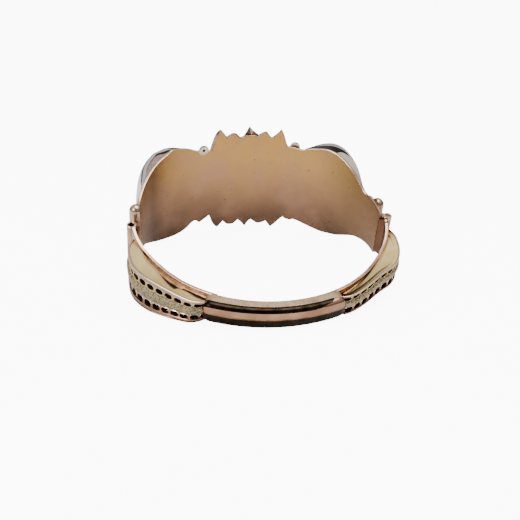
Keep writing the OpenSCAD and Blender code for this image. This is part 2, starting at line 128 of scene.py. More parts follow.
# Height of a dome's steep side at places along the wing, and of the upper and lower edge of
# the black streak on it, a painted dark reflection
DOME_WALL = (
    [(-10.8, 0.8), (-10, 2.3), (-9, 3.2), (-8, 3.8), (-6.5, 4.3), (-5, 4.3), (-4, 4.1), (-2, 3.75),
     (0, 3.35), (2, 2.8), (4, 2.1), (6, 1.2), (8, 0.5), (10.4, 0.1)],
    [(-10.4, 0.3), (-9, 0.6), (-7, 0.8), (-4, 0.95), (-3, 1.2), (-2, 1.95), (-1, 2.45), (0, 2.25), (2, 1.95),
     (4, 1.5), (5, 1.05), (6, 0.55), (7, 0.25), (10.4, 0.1)],
)
STREAK_TOP = (
    [(-10.8, 0.4), (-10, 1.4), (-9, 1.95), (-7, 2.5), (-5, 2.8), (-2, 3), (0, 3.05), (2, 2.65), (10.4, 2.6)],
    [(-10.4, 0.1), (-6, 0.5), (-4, 0.75), (-3, 1), (-2, 1.75), (-1, 2.35), (0, 2.2), (2, 1.9), (4, 1.45),
     (5, 1), (7, 0.15), (10.4, 0.1)],
)
STREAK_LOW = (
    [(-10.8, 0), (-2.6, 0), (-1.5, 1.2), (-0.5, 2.2), (1.5, 2.7), (2, 2.65), (10.4, 2.6)],
    [(-10.4, 0.1), (-6, 0.1), (-3.5, 0.1), (-2, 0.8), (-1, 1.7), (0, 1.95), (2, 1.75), (4, 1.35), (5, 0.95),
     (7, 0.15), (10.4, 0.1)],
)

# Beads: angle round a wing's arc, height, radius, radius of the hole, and distance outwards
BEAD_A = (math.radians(16.3), math.radians(17.7))
BEAD_Z = ((10.7, -11.9), (10.6, -11.9))
BEAD_R = 1.35
BEAD_HOLE_R = 0.3
BEAD_OUT = (0.15, 0.55)
# How far the beads' pierced discs stand towards the wrist
BEAD_IN = ((0.1, 0.1), (1.15, 0.1))

# Upright bars: angle round a wing's arc, radius, top, foot and distance outwards
BAR_A = math.radians(80.5)
BAR_R = 1.7
BAR_TOP = 8.2
BAR_LOW = -6.4
BAR_OUT = (0, 0.7)

# Centre boss: radius, how far inside the plaque's outer face its centre lies, and half its angle
BOSS_R = 9
BOSS_BACK = 6.2
BOSS_REACH = math.radians(46)

# Hinge and catch
PIN_X = 31.8
PIN_Y = 0.6
TUBE_R = 1.15
HINGE_BORE_R = 0.55
CATCH_BORE_R = 0.8
TUBE_TOP = 5.7
CATCH_TUBE_TOP = 5.3
MIDDLE_TUBE_TOP = 1.9
TUBE_GAP = 0.1
TUBE_LIP = 0.06

# Rear band: half heights at the back and at the joints, where the rise begins and where the
# sides end, the angle from the -y axis at which they begin, the width of the strip along their
# inner edge, and the depth of the groove beside it
BAND_HALF_H = 2.85
BAND_END_HALF_H = 5.5
BAND_RISE_Y = 18.3
BAND_END_Y = -0.65
BAND_SIDE_FROM = math.radians(31)
STRIP_W = 0.85
GROOVE_D = 0.65
# How far the band's inner edge stands off its plain oval: y and that distance
BAND_OFFSET = (
    [(-25.6, 0), (-22, 0), (-18, -0.25), (-15, -0.3), (-12, -0.1), (-8.6, 0.4), (-5.9, 0.8),
     (-2.8, 1.2), (0, 1.35)],
    [(-25.6, 0), (-22, -0.3), (-18, -0.6), (-15.9, -0.75), (-12.4, -0.65), (-8.7, -0.1),
     (-6, 0.6), (-3, 1.2), (0, 1.65)],
)
# The back's thickness and rounding
BACK_T = 3.65
BACK_EDGE_R = 1.3
# Angles of the back's right and left end, and how far its ends are rounded
BACK_END_A = (math.radians(25.8), math.radians(27.9))
BACK_END = 1.8
# How much thicker the back is at its ends, and where the tan of its upper face ends, a painted reflection of
# the light overhead
BACK_END_T = 0.5
TAN_W = 2.05
# The black stripe, a painted dark reflection: how far to the right it reaches, over what length it
# fades there, and how many rows of the rounding it covers
STRIPE_TO_X = 11.8
STRIPE_FADE = 5
STRIPE_ROWS = 11

# Shoulder boxes, from the front backwards: the outer edge in plan, the heights of its upper
# and lower rim at shares of its length, and the leaf's inner edge in plan
BOX_EDGE = (
    [(31.6, -2.6), (32.2, -3.7), (32.6, -5.4), (32.6, -8.2), (32.2, -11), (31.4, -13.5),
     (30.2, -15.6), (28.6, -17.3), (26, -19.1), (22.3, -22.1), (19.2, -24.2), (16.6, -25.3), (14.6, -25)],
    [(31.3, -2.6), (32.4, -4.6), (33, -7), (33, -10.1), (32.6, -13.2), (31.4, -15.9),
     (29.1, -18.7), (26.2, -21.1), (23.1, -23.3), (20.2, -24.9), (17.8, -25.1), (15.8, -24.4)],
)
BOX_TOP = (
    [(0, 3.9), (0.2, 4.1), (0.5, 4.2), (0.7, 3.8), (0.93, 2.95), (1, 2.6)],
    [(0, 3.5), (0.25, 4.5), (0.45, 4.8), (0.6, 4.5), (0.8, 3.6), (0.95, 2.75), (1, 2.5)],
)
BOX_LOW = (
    [(0, -2.9), (0.3, -2.3), (0.5, -2), (0.75, -2.4), (1, -2.85)],
    [(0, -3.5), (0.25, -4.6), (0.45, -4.95), (0.6, -4.7), (0.8, -3.7), (1, -2.8)],
)
LEAF_EDGE = (
    [(31.4, -2.2), (30.8, -4.7), (29.1, -8.7), (26.5, -13.1), (24.3, -16.1), (22.7, -18.1),
     (19.9, -21), (17.6, -22.9), (14.8, -24.4)],
    [(30.8, -3.2), (30.1, -5.7), (29.7, -7.4), (28.5, -11.2), (26.9, -13.7), (25.65, -16.8),
     (24.7, -19), (23.4, -20.8), (22.6, -20.7), (21.7, -20.6), (20.1, -21.5), (18.2, -23.2),
     (16, -24)],
)
# The plane that the leaves' inner edges lie in: a place on it, its turn, and its slopes
LEAF_AT = ((28.7, -18.7, 4.1), (28.7, -18.7, 4.5))
LEAF_TURN = math.radians(35.2)
LEAF_IN = math.tan(math.radians(14))
LEAF_BACK = math.tan(math.radians(3))
LEAF_DISH = 0.03
# Share of a leaf's width that is plain, and the shares of the groove at which its black and
# its copper begin, painted shade with some patina: share of the box's length, then those two
LEAF_PLAIN = 0.86
GROOVE_ZONES = (
    [(0, 0.2, 0.9), (0.4, 0.1, 0.8), (0.6, 0.15, 0.75), (0.8, 0.25, 0.55), (1, 0.3, 0.5)],
    [(0, 0.15, 0.5), (0.3, 0.15, 0.4), (0.5, 0.2, 0.45), (0.62, 0.35, 0.62), (0.72, 0.25, 0.6),
     (0.8, 0.2, 0.6), (1, 0.2, 0.6)],
)
# Rows of a box's outside, as shares of its height: below the milled rim, below the upper
# piercings, top and foot of the panel, and below the lower piercings
BOX_ROWS = ((0.1, 0.29, 0.31, 0.62, 0.95), (0.11, 0.29, 0.31, 0.64, 0.87))
# Stations along a box; the lip on its edge; how far the rims stand out of the wall, and the
# panel's bulge; the wall's thickness, the depth of the milling, and the panel's grain
BOX_N = 240
LIP_W = (0.45, 0.6)
LIP_H = 0.14
RIM_OUT = 0.35
BULGE = 0.6
WALL_T = 0.6
MILLING = 0.05
GRAIN = 0.09
GRAIN_SCALE = 2.4
HOLE_PITCH = 2.45
# Half a piercing's width, as a share of the pitch, and how far the wall round a piercing stands
# out, in the upper and the lower row
HOLE_HALF_W = 0.41
HOLE_RAISED = (0.05, 0.16)
# Distance from a box's front end to its first piercing, in the upper and the lower row
HOLE_START = ((1.4, 0.6), (1.2, 0.4))
# The chased wire: radius, depth and pitch of its chasing, and how far it waves with the piercings,
# as a share of the box's height
WIRE_R = 0.13
WIRE_CHASING = 0.03
WIRE_PITCH = 0.5
WIRE_WAVE = 0.018

# The camera, in the bangle's own frame
CAMERA_AZ = math.radians(-12.02)
CAMERA_EL = math.radians(40.13)
CAMERA_ROLL = math.radians(5.68)
CAMERA_DISTANCE = 224.87
CAMERA_TARGET = Vector((0.264, 0, -6.961))
CAMERA_LENS = 61.35


def srgb(r, g, b):
    """A colour given as the eye sees it, from 0 to 1, as the shader wants it."""
    return tuple(c / 12.92 if c <= 0.04045 else ((c + 0.055) / 1.055) ** 2.4 for c in (r, g, b)) + (1,)


# Curves

def catmull(rows, steps=8):
    """A smooth curve through a list of points."""
    out = []
    for i in range(len(rows) - 1):
        four = [rows[max(i - 1, 0)], rows[i], rows[i + 1], rows[min(i + 2, len(rows) - 1)]]
        for s in range(steps):
            t = s / steps
            out.append(tuple(
                0.5 * (2 * b + (c - a) * t + (2 * a - 5 * b + 4 * c - d) * t * t
                       + (3 * b - a - 3 * c + d) * t ** 3)
                for a, b, c, d in zip(*four)
            ))
    out.append(tuple(rows[-1]))
    return out


def through_runs(runs):
    """A curve that is smooth within each run and has a corner where two runs meet."""
    out = list(catmull(runs[0], 5))
    for run in runs[1:]:
        out.extend(catmull([out[-1]] + run, 5)[1:])
    return out


def lookup(curve, at):
    """The value of a list of points at a place, by straight lines between them."""
    if at <= curve[0][0]:
        return curve[0][1]
    for (a, va), (b, vb) in zip(curve, curve[1:]):
        if at <= b:
            return va + (vb - va) * (at - a) / max(b - a, 1e-9)
    return curve[-1][1]


def evenly(curve, n):
    """A curve cut into n stretches of equal length, and that whole length."""
    lengths = [0.0]
    for a, b in zip(curve, curve[1:]):
        lengths.append(lengths[-1] + math.dist(a, b))
    out = []
    for axis in (0, 1):
        table = [(s, p[axis]) for s, p in zip(lengths, curve)]
        out.append([lookup(table, lengths[-1] * i / n) for i in range(n + 1)])
    return list(zip(*out)), lengths[-1]


def evened(points, times, closed=False):
    """Points drawn towards their neighbours, again and again; an open row keeps its ends."""
    for _ in range(times):
        threes = zip([points[-1]] + points[:-1], points, points[1:] + [points[0]])
        moved = [tuple((a + 2 * b + c) / 4 for a, b, c in zip(*three)) for three in threes]
        points = moved if closed else [points[0]] + moved[1:-1] + [points[-1]]
    return points


def ray_to_circle(d, cx, cy, r):
    """How far a ray from the middle, along the unit vector d, goes to the far side of a circle."""
    along = cx * d[0] + cy * d[1]
    return along + math.sqrt(max(along * along - cx * cx - cy * cy + r * r, 0))


def half_oval(d, depth, end_r, grow):
    """The same for a three-centred half oval that opens along +y."""
    end_x = HALF_W - end_r
    mid_r = (end_x ** 2 / (depth - end_r) + end_r + depth) / 2
    mid_y = depth - mid_r
    reach = ray_to_circle(d, 0, mid_y, mid_r + grow)
    x, y = d[0] * reach, d[1] * reach
    if abs(x) * (mid_r - depth) > end_x * (y - mid_y) - 1e-9 or y < 0:
        side = 1 if d[0] > 0 else -1
        reach = ray_to_circle(d, side * end_x, 0, end_r + grow)
    return reach


def front_point(a, grow):
    """A point of the front wall: a is the angle from the y axis, towards the right."""
    d = (math.sin(a), math.cos(a))
    oval = half_oval(d, FRONT_DEPTH, FRONT_END_R, grow)
    corner = ray_to_circle(d, *LEFT_CORNER, LEFT_CORNER_R + grow)
    reach = (oval + corner + math.hypot(oval - corner, CORNER_BLEND)) / 2
    return d[0] * reach, d[1] * reach


def rear_point(a, grow):
    """A point of the rear wall's inner face: a is the angle from the -y axis, to the right."""
    d = (math.sin(a), math.cos(a))
    reach = half_oval(d, REAR_DEPTH, REAR_END_R, grow)
    return d[0] * reach, -d[1] * reach


def halved(low, high, times, below):
    """The place between low and high up to which below says yes, found by halving."""
    for _ in range(times):
        half = (low + high) / 2
        if below(half):
            low = half
        else:
            high = half
    return half


def angle_at(x):
    """The angle of the front wall's point that lies at x."""
    return halved(-1.2, 1.2, 40, lambda a: front_point(a, 0)[0] < x)


CREST_UPPER = through_runs(CREST_TOP)
CREST_LOWER = through_runs(CREST_BOTTOM)
WING_UPPER = tuple(catmull(rows) for rows in WING_TOP)
WING_LOWER = tuple(catmull(rows) for rows in WING_BOTTOM)


def plaque_edges(x, y):
    """Upper and lower edge of the plaque where its inner face is at x, y."""
    side = 0 if x > 0 else 1
    w = ((abs(x) - FRONT_END_X) - y) * math.sqrt(0.5)
    tops = []
    bottoms = []
    if w >= WING_UPPER[side][0][0]:
        tops.append(lookup(WING_UPPER[side], w))
    if w >= WING_LOWER[side][0][0]:
        bottoms.append(lookup(WING_LOWER[side], w))
    if CREST_UPPER[0][0] <= x <= CREST_UPPER[-1][0]:
        tops.append(lookup(CREST_UPPER, x))
    if CREST_LOWER[0][0] <= x <= CREST_LOWER[-1][0]:
        bottoms.append(lookup(CREST_LOWER, x))
    return max(tops), min(bottoms)


# Mesh building

# Points nearer than this become one
WELD = 0.002
# How far a piece reaches into its neighbour
BITE = 0.1
SIDE_NAME = ("right", "left")


class Shape:
    """Points, faces and the skin of each face, gathered before they become one piece."""

    def __init__(self):
        self.points = []
        self.faces = []
        self.skins = []

    def grid(self, rows, skin=0, wrap_u=False, wrap_v=False):
        """Rows of points of equal length. skin is a number, or a function of row and column."""
        base = len(self.points)
        n = len(rows)
        m = len(rows[0])
        for row in rows:
            self.points.extend(row)
        for i in range(n if wrap_u else n - 1):
            for j in range(m if wrap_v else m - 1):
                this = base + i * m
                after = base + (i + 1) % n * m
                j2 = (j + 1) % m
                self.faces.append((this + j, after + j, after + j2, this + j2))
                self.skins.append(skin(i, j) if callable(skin) else skin)

    def piece(self, name, body, skins, replaces=(), sharp=40):
        """The finished object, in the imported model's frame, riding on its body."""
        mesh = bpy.data.meshes.new(name)
        mesh.from_pydata([Vector(p) for p in self.points], [], self.faces)
        for skin in skins:
            mesh.materials.append(skin)
        mesh.polygons.foreach_set("material_index", self.skins)
        work = bmesh.new()
        work.from_mesh(mesh)
        bmesh.ops.remove_doubles(work, verts=work.verts, dist=WELD)
        bmesh.ops.dissolve_degenerate(work, edges=work.edges, dist=1e-4)
        bmesh.ops.recalc_face_normals(work, faces=work.faces)
        work.transform(REST)
        work.to_mesh(mesh)
        work.free()
        mesh.polygons.foreach_set("use_smooth", [True] * len(mesh.polygons))
        mesh.set_sharp_from_angle(angle=math.radians(sharp))
        obj = bpy.data.objects.new(name, mesh)
        bpy.context.collection.objects.link(obj)
        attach(obj, body)
        if replaces:
            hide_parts(*replaces)


def surface(name, body, rows, skins, skin=0, wrap_u=False, wrap_v=True, caps=None, **look):
    """A piece made of one grid of points, its two ends closed where caps names their skin."""
    shape = Shape()
    shape.grid(rows, skin, wrap_u, wrap_v)
    for loop in () if caps is None else (rows[0], rows[-1]):
        middle = [sum(p[k] for p in loop) / len(loop) for k in range(3)]
        shape.grid([[middle] * len(loop), loop], caps, wrap_v=True)
    shape.piece(name, body, skins, **look)


def mirrored(points, side):
    """Points drawn for the right, moved to their side."""
    return [(-x, y, z) for x, y, z in points] if side else list(points)


def wing_to_own(w, out, z, side):
    """A place given along the wing, out from its end's centre and up, in the bangle's frame."""
    s = math.sqrt(0.5)
    x = FRONT_END_X + (w + out) * s
    return (-x if side else x, (out - w) * s, z)


def on_plate(angle, across, out, z, side):
    """A place near the plate's outer face, at an angle round an end's arc."""
    r = FRONT_END_R + PLATE_T + out
    x = FRONT_END_X + r * math.sin(angle) + across * math.cos(angle)
    y = r * math.cos(angle) - across * math.sin(angle)
    return (-x if side else x, y, z)


def ring(n, rx, ry=None):
    """The points of an ellipse, as pairs."""
    ry = rx if ry is None else ry
    return [(rx * math.cos(2 * math.pi * k / n), ry * math.sin(2 * math.pi * k / n)) for k in range(n)]


# Materials

def add(tree, kind, inputs, out, **settings):
    """Adds a node, with links or constants at its inputs, and gives back one of its outputs."""
    node = tree.nodes.new("ShaderNode" + kind)
    for key, value in settings.items():
        setattr(node, key, value)
    for key, value in inputs.items():
        if isinstance(value, bpy.types.NodeSocket):
            tree.links.new(value, node.inputs[key])
        else:
            node.inputs[key].default_value = value
    return node.outputs[out]


def shader(name, rough, metal=1.0):
    """A node material, its principled shader, and a place in the bangle's own frame."""
    mat = bpy.data.materials.new(name)
    mat.use_nodes = True
    tree = mat.node_tree
    bsdf = tree.nodes["Principled BSDF"]
    bsdf.inputs["Roughness"].default_value = rough
    bsdf.inputs["Metallic"].default_value = metal
    at = add(tree, "Mapping", {
        "Vector": add(tree, "TexCoord", {}, "Object"),
        "Location": -(Matrix.Rotation(-REST_TILT, 3, "X") @ Vector((0, REST_Y, REST_Z))),
        "Rotation": (-REST_TILT, 0, 0),
        "Scale": (1 / MM, 1 / MM, 1 / MM),
    }, "Vector")
    return mat, tree, bsdf, at


def axis(tree, at, name):
    return add(tree, "SeparateXYZ", {"Vector": at}, name)


def noise_node(tree, at, scale, detail=3, rough=0.5):
    return add(tree, "TexNoise", {"Vector": at, "Scale": scale, "Detail": detail, "Roughness": rough}, "Fac")


def arithmetic(tree, operation, a, b):
    return add(tree, "Math", {0: a, 1: b}, "Value", operation=operation)


def swayed(tree, value, at, scale, reach):
    """A value moved to and fro by noise, so that the edge of a zone is ragged."""
    sway = arithmetic(tree, "SUBTRACT", noise_node(tree, at, scale, 4, 0.6), 0.5)
    return arithmetic(tree, "ADD", value, arithmetic(tree, "MULTIPLY", sway, 2 * reach))


def ramp(tree, value, stops):
    """A colour ramp: stops are places and colours, as the eye sees them."""
    node = tree.nodes.new("ShaderNodeValToRGB")
    band = node.color_ramp
    while len(band.elements) < len(stops):
        band.elements.new(0.5)
    for element, (place, colour) in zip(band.elements, stops):
        element.position = place
        element.color = srgb(*colour)
    tree.links.new(value, node.inputs["Fac"])
    return node.outputs["Color"]


def remap(tree, value, low, high, to_low=0.0, to_high=1.0):
    """A value carried from one range to another, and held at that range's ends."""
    ends = {"From Min": low, "From Max": high, "To Min": to_low, "To Max": to_high}
    return add(tree, "MapRange", {"Value": value, **ends}, "Result")


def mix(tree, factor, a, b, mode="MIX"):
    """Mixes two colours: each is a socket or a plain colour."""
    return add(tree, "Mix", {0: factor, 6: a, 7: b}, 2, data_type="RGBA", blend_type=mode)


def bump(tree, bsdf, height, depth):
    """Adds a bump of a depth in millimetres."""
    normal = add(tree, "Bump", {"Distance": depth * MM, "Height": height}, "Normal")
    tree.links.new(normal, bsdf.inputs["Normal"])


def gold(name, light, deep, rough, spread=0.12, patch=0.12, dent=0.02):
    """Worn gold: two tones in soft patches, uneven polish and shallow dents."""
    mat, tree, bsdf, at = shader("gold_" + name, rough)
    colour = ramp(tree, noise_node(tree, at, patch, 4, 0.6), [(0.36, deep), (0.64, light)])
    tree.links.new(colour, bsdf.inputs["Base Color"])
    polish = remap(tree, noise_node(tree, at, 3, 5, 0.6), 0.3, 0.7, rough - spread / 2, rough + spread / 2)
    tree.links.new(polish, bsdf.inputs["Roughness"])
    bump(tree, bsdf, noise_node(tree, at, 0.35, 3, 0.55), dent)
    return mat


def plaque_inside():
    """The plaque's satin inside, with specks; painted shade makes it brown below, yellow above and darker at
    the bends.
    """
    mat, tree, bsdf, at = shader("gold_plaque_inside", 0.42)
    # Painted shade: brown and darker towards the bottom, yellow towards the top.
    height = swayed(tree, remap(tree, axis(tree, at, "Z"), -15, 15), at, 0.07, 0.22)
    colour = ramp(tree, height, [
        (0.05, (0.47, 0.365, 0.29)), (0.26, (0.565, 0.435, 0.33)), (0.52, (0.685, 0.52, 0.36)),
        (0.74, (0.735, 0.57, 0.345)), (0.95, (0.75, 0.575, 0.33)),
    ])
    mauve = remap(tree, noise_node(tree, at, 0.11), 0.47, 0.72, 0, 0.5)
    colour = mix(tree, mauve, colour, srgb(0.67, 0.51, 0.43))
    # Painted shade: darker near the bends at both ends.
    across = swayed(tree, remap(tree, axis(tree, at, "X"), -30, 30), at, 0.1, 0.015)
    ends = ramp(tree, across, [
        (0.0, (1, 1, 1)), (0.045, (0.92, 0.94, 0.99)), (0.07, (0.80, 0.79, 0.82)),
        (0.13, (0.97, 0.97, 0.98)), (0.3, (1, 1, 1)), (0.8, (1, 1, 1)), (0.93, (0.85, 0.88, 0.9)),
        (1.0, (0.95, 0.97, 0.98)),
    ])
    colour = mix(tree, 1.0, colour, ends, "MULTIPLY")
    specks = remap(tree, noise_node(tree, at, 1.1, 2, 0.4), 0.735, 0.76)
    colour = mix(tree, specks, colour, srgb(0.34, 0.22, 0.14))
    tree.links.new(colour, bsdf.inputs["Base Color"])
    fine = noise_node(tree, at, 5.0, 4, 0.6)
    tree.links.new(remap(tree, fine, 0.3, 0.7, 0.36, 0.48), bsdf.inputs["Roughness"])
    bump(tree, bsdf, noise_node(tree, at, 0.25, 4, 0.5), 0.06)
    return mat


def band_inside():
    """The band's inner face: brown near the joints, mauve grey further back."""
    mat, tree, bsdf, at = shader("gold_band_inside", 0.3)
    back = swayed(tree, remap(tree, axis(tree, at, "Y"), -26, 0), at, 0.2, 0.12)
    colour = ramp(tree, back, [
        (0.1, (0.60, 0.49, 0.42)), (0.4, (0.66, 0.57, 0.52)), (0.62, (0.55, 0.44, 0.38)),
        (0.8, (0.50, 0.35, 0.26)), (1.0, (0.38, 0.26, 0.19)),
    ])
    tree.links.new(colour, bsdf.inputs["Base Color"])
    bump(tree, bsdf, noise_node(tree, at, 0.4, 3, 0.5), 0.03)
    return mat


def panel_skin():
    """The chased middle panel: greenish grey gold, matted all over with fine punch marks."""
    mat, tree, bsdf, at = shader("gold_chased", 0.4)
    marks = add(tree, "TexVoronoi", {"Vector": at, "Scale": 3.4}, "Distance")
    colour = ramp(tree, marks, [(0.1, (0.84, 0.78, 0.66)), (0.75, (0.46, 0.40, 0.31))])
    tint = ramp(tree, noise_node(tree, at, 0.4), [(0.38, (0.86, 0.89, 0.85)), (0.62, (1, 0.95, 0.90))])
    tree.links.new(mix(tree, 1.0, colour, tint, "MULTIPLY"), bsdf.inputs["Base Color"])
    bump(tree, bsdf, marks, -0.13)
    return mat


def dark_skin():
    """Painted shade: near black for the insides of hollows, bores and piercings."""
    mat, tree, bsdf, at = shader("painted_shade_hollow", 0.7, 0.4)
    colour = ramp(tree, noise_node(tree, at, 1.2), [(0.3, (0.05, 0.035, 0.03)), (0.75, (0.20, 0.12, 0.09))])
    tree.links.new(colour, bsdf.inputs["Base Color"])
    return mat


INSIDE = plaque_inside()
BAND_INSIDE = band_inside()
# Light pinkish gold for rims, lips, tips and edge lines: a painted highlight.
RIM = gold("rim", (0.91, 0.80, 0.72), (0.79, 0.67, 0.59), 0.2, 0.08)
POLISH = gold("polished", (0.88, 0.72, 0.55), (0.76, 0.58, 0.42), 0.14, 0.08, dent=0.05)
# Near-white gold on the domes' faces: a painted reflection of the white surroundings.
DOME = gold("dome", (0.90, 0.87, 0.87), (0.78, 0.74, 0.74), 0.14, 0.08, dent=0.05)
# Mauve grey gold on the left dome's side, painted darker than the right dome's cream side: painted shade.
WALL = gold("dome_side", (0.72, 0.63, 0.59), (0.58, 0.49, 0.46), 0.25, 0.12)
# Pale cream gold on the right dome's side and on the beads: a painted reflection of the white surroundings.
CREAM = gold("cream", (0.93, 0.87, 0.79), (0.82, 0.75, 0.67), 0.25, 0.1)
# Near black gold for the streak on the domes' steep sides: a painted dark reflection.
REFLECTION_STREAK = gold("streak", (0.20, 0.16, 0.15), (0.09, 0.07, 0.07), 0.3, 0.1)
EDGE = gold("edge", (0.74, 0.62, 0.53), (0.58, 0.47, 0.40), 0.3, 0.1, patch=0.4)
MILLED = gold("milled", (0.78, 0.69, 0.58), (0.56, 0.47, 0.37), 0.3, 0.1, patch=0.4)
TUBE = gold("tube", (0.77, 0.66, 0.55), (0.58, 0.47, 0.38), 0.25, 0.1, patch=0.3, dent=0.08)
STRIP = gold("strip", (0.84, 0.66, 0.55), (0.70, 0.52, 0.43), 0.2, 0.1, patch=0.3)
LEAF = gold("leaf", (0.98, 0.88, 0.63), (0.91, 0.79, 0.51), 0.36, 0.12, patch=0.15)
LEAF_WARM = gold("leaf_warm", (0.92, 0.76, 0.52), (0.84, 0.70, 0.42), 0.28, 0.12, patch=0.4)
# Coppery brown gold, on one side of the crest's spike; on the back's lower face, and with the olive in the
# grooves, it is painted shade, with some patina in the grooves.
COPPER = gold("copper", (0.63, 0.45, 0.31), (0.42, 0.29, 0.19), 0.35, 0.15, patch=0.4)
OLIVE = gold("olive", (0.50, 0.42, 0.27), (0.30, 0.23, 0.13), 0.35, 0.15, patch=0.4)
ROSE = gold("rose", (0.74, 0.59, 0.50), (0.58, 0.45, 0.37), 0.25, 0.1, patch=0.3)
GREY = gold("grey", (0.36, 0.33, 0.31), (0.22, 0.19, 0.18), 0.3, 0.1)
# The back's tan top and pink-tan face: painted reflections of the light overhead and of the floor.
BACK_TOP = gold("back_top", (0.80, 0.68, 0.55), (0.66, 0.53, 0.41), 0.25, 0.1, patch=0.25)
BACK_FACE = gold("back_face", (0.67, 0.51, 0.41), (0.53, 0.40, 0.31), 0.2, 0.1, patch=0.12, dent=0.08)
# Near black gold: a painted dark reflection on the back, and painted shade on its lower face and in the
# grooves.
STRIPE = gold("painted_reflection_and_shade", (0.17, 0.135, 0.10), (0.08, 0.06, 0.045), 0.25, 0.1, patch=0.4)
PANEL = panel_skin()
DARK = dark_skin()


# The plaque

def plaque_columns():
    """The angles at which the plaque's wall is cut into columns, from left to right."""
    low = -math.pi / 2 + math.asin(JOINT_GAP / HALF_W)
    marks = sorted({round(p[0], 3) for p in CREST_UPPER + CREST_LOWER})
    kept = [marks[0]]
    corners = {round(run[-1][0], 3) for run in CREST_TOP + CREST_BOTTOM}
    for mark in marks[1:]:
        if mark - kept[-1] > 0.09:
            kept.append(mark)
        elif mark in corners and kept[-1] not in corners:
            kept[-1] = mark
    middle = [angle_at(x) for x in kept]
    wing_step = math.radians(0.75)
    n = math.ceil((middle[0] - low) / wing_step)
    left = [low + (middle[0] - low) * i / n for i in range(n)]
    right = [middle[-1] + (-low - middle[-1]) * i / n for i in range(1, n + 1)]
    return left + middle + right


def wall_loop(angle, near, far, top, bottom, n, r, wave=0.0):
    """A bent plate's section: up the near face and down the far, and the kind of each stretch."""
    def at(grow, z):
        return (*front_point(angle, grow), z)

    def corner(grow, z, start, first, last):
        turns = [start - math.pi / 2 * i / 4 for i in range(first, last)]
        return [at(grow + r * math.cos(t), z + r * math.sin(t)) for t in turns]

    r = min(r, (top - bottom) / 4, (far - near) / 2)
    high, low = top - r, bottom + r
    loop = []
    for i in range(n + 1):
        z = low + (high - low) * i / n
        x, y, _z = at(near, z)
        sway = wave * noise.noise(Vector((x * 0.09, y * 0.09, z * 0.12)))
        loop.append(at(near + sway, z))
    loop += corner(near + r, high, math.pi, 1, 5) + corner(far - r, high, math.pi / 2, 0, 4)
    down = n // 2
    loop += [at(far, high - (high - low) * i / down) for i in range(down + 1)]
    loop += corner(far - r, low, 0, 1, 5) + corner(near + r, low, -math.pi / 2, 0, 4)
    kinds = ["near"] * n + ["rim"] * 4 + ["edge"] * 5 + ["far"] * down + ["edge"] * 5 + ["rim"] * 4
    return loop, kinds


def plaque_plate():
    rows = []
    on_crest = []
    for angle in plaque_columns():
        x, y = front_point(angle, 0)
        loop, kinds = wall_loop(angle, 0, PLATE_T, *plaque_edges(x, y), 36, RIM_R, 0.05)
        rows.append(loop)
        on_crest.append(CREST_UPPER[0][0] - 1 < x < CREST_UPPER[-1][0] + 1)
    order = {"near": 0, "rim": 1, "far": 2, "edge": 3}

    def skin(i, j):
        return order["edge" if on_crest[i] and kinds[j] == "rim" else kinds[j]]

    # Off the crest the rims are painted bright as a highlight.
    skins = [INSIDE, RIM, POLISH, EDGE]
    surface("plaque_plate", "front", rows, skins, skin, caps=1, replaces=["front_plaque"])


def crest_relief():
    """The raised ornament on the crest's front, whose thin edge shows over the lobes."""
    left, right = CREST_UPPER[0][0], CREST_UPPER[-1][0]
    rows = []
    n = 200
    for i in range(n + 1):
        x = left + (right - left) * i / n
        top = lookup(CREST_UPPER, x) - RELIEF_INSET
        bottom = lookup(CREST_LOWER, x) + RELIEF_INSET
        loop, kinds = wall_loop(angle_at(x), PLATE_T - BITE, PLATE_T + RELIEF_T, top, bottom, 20, 0.2)
        rows.append(loop)

    def skin(i, j):
        return int(kinds[j] == "near")

    surface("crest_relief", "front", rows, [EDGE, GREY], skin, caps=0, sharp=50)


def crest_spike():
    """The relief's middle spike: creased down its back, grey on one side, coppery on the other, and painted
    bright at its tip and on its outer side as a highlight.
    """
    def at(x, z, grow):
        return (*front_point(angle_at(x), grow), z)

    near, far = ([at(*SPIKE_RIDGE, grow)] * len(SPIKE) for grow in (PLATE_T - 0.25, PLATE_T + RELIEF_T))
    rows = [near, [at(x, z, PLATE_T + BITE) for x, z in SPIKE], far]
    near_skins = (0, 0, 1, 2, 2)

    def skin(i, j):
        return 1 if i else near_skins[j]

    surface("crest_spike", "front", rows, [GREY, RIM, COPPER], skin, wrap_v=False, sharp=10)


def boss():
    """The centre boss, a low dome."""
    centre = FRONT_DEPTH + PLATE_T - BOSS_BACK
    rows = []
    n = 24
    for i in range(n + 1):
        t = BOSS_REACH * i / n
        rad = max(BOSS_R * math.sin(t), 1e-4)
        rows.append([(x, centre + BOSS_R * math.cos(t), z) for x, z in ring(64, rad)])
    surface("centre_boss", "front", rows, [POLISH])


@functools.cache
def plate_out(w, side):
    """How far out the plate's outer face lies at a place along the wing."""
    def inside(out):
        x, y, _z = wing_to_own(w, out, 0, side)
        return math.hypot(x, y) < math.hypot(*front_point(math.atan2(x, y), PLATE_T))

    return halved(5, 40, 30, inside)


def dome_outline(side):
    """The dome's foot on the wing: places along it and up, all the way round."""
    n = 60
    m = 26
    top = []
    low = []
    for i in range(n + 1):
        w = DOME_FROM[side] + (DOME_TO - DOME_FROM[side]) * i / n
        top.append((w, lookup(WING_UPPER[side], w) - DOME_MARGIN))
        low.append((w, lookup(WING_LOWER[side], w) + DOME_MARGIN))
    right = [(DOME_TO, top[-1][1] + (low[-1][1] - top[-1][1]) * i / m) for i in range(1, m)]
    left = [(DOME_FROM[side], low[0][1] + (top[0][1] - low[0][1]) * i / m) for i in range(1, m)]
    return evened(top + right + low[::-1] + left, 3, closed=True)


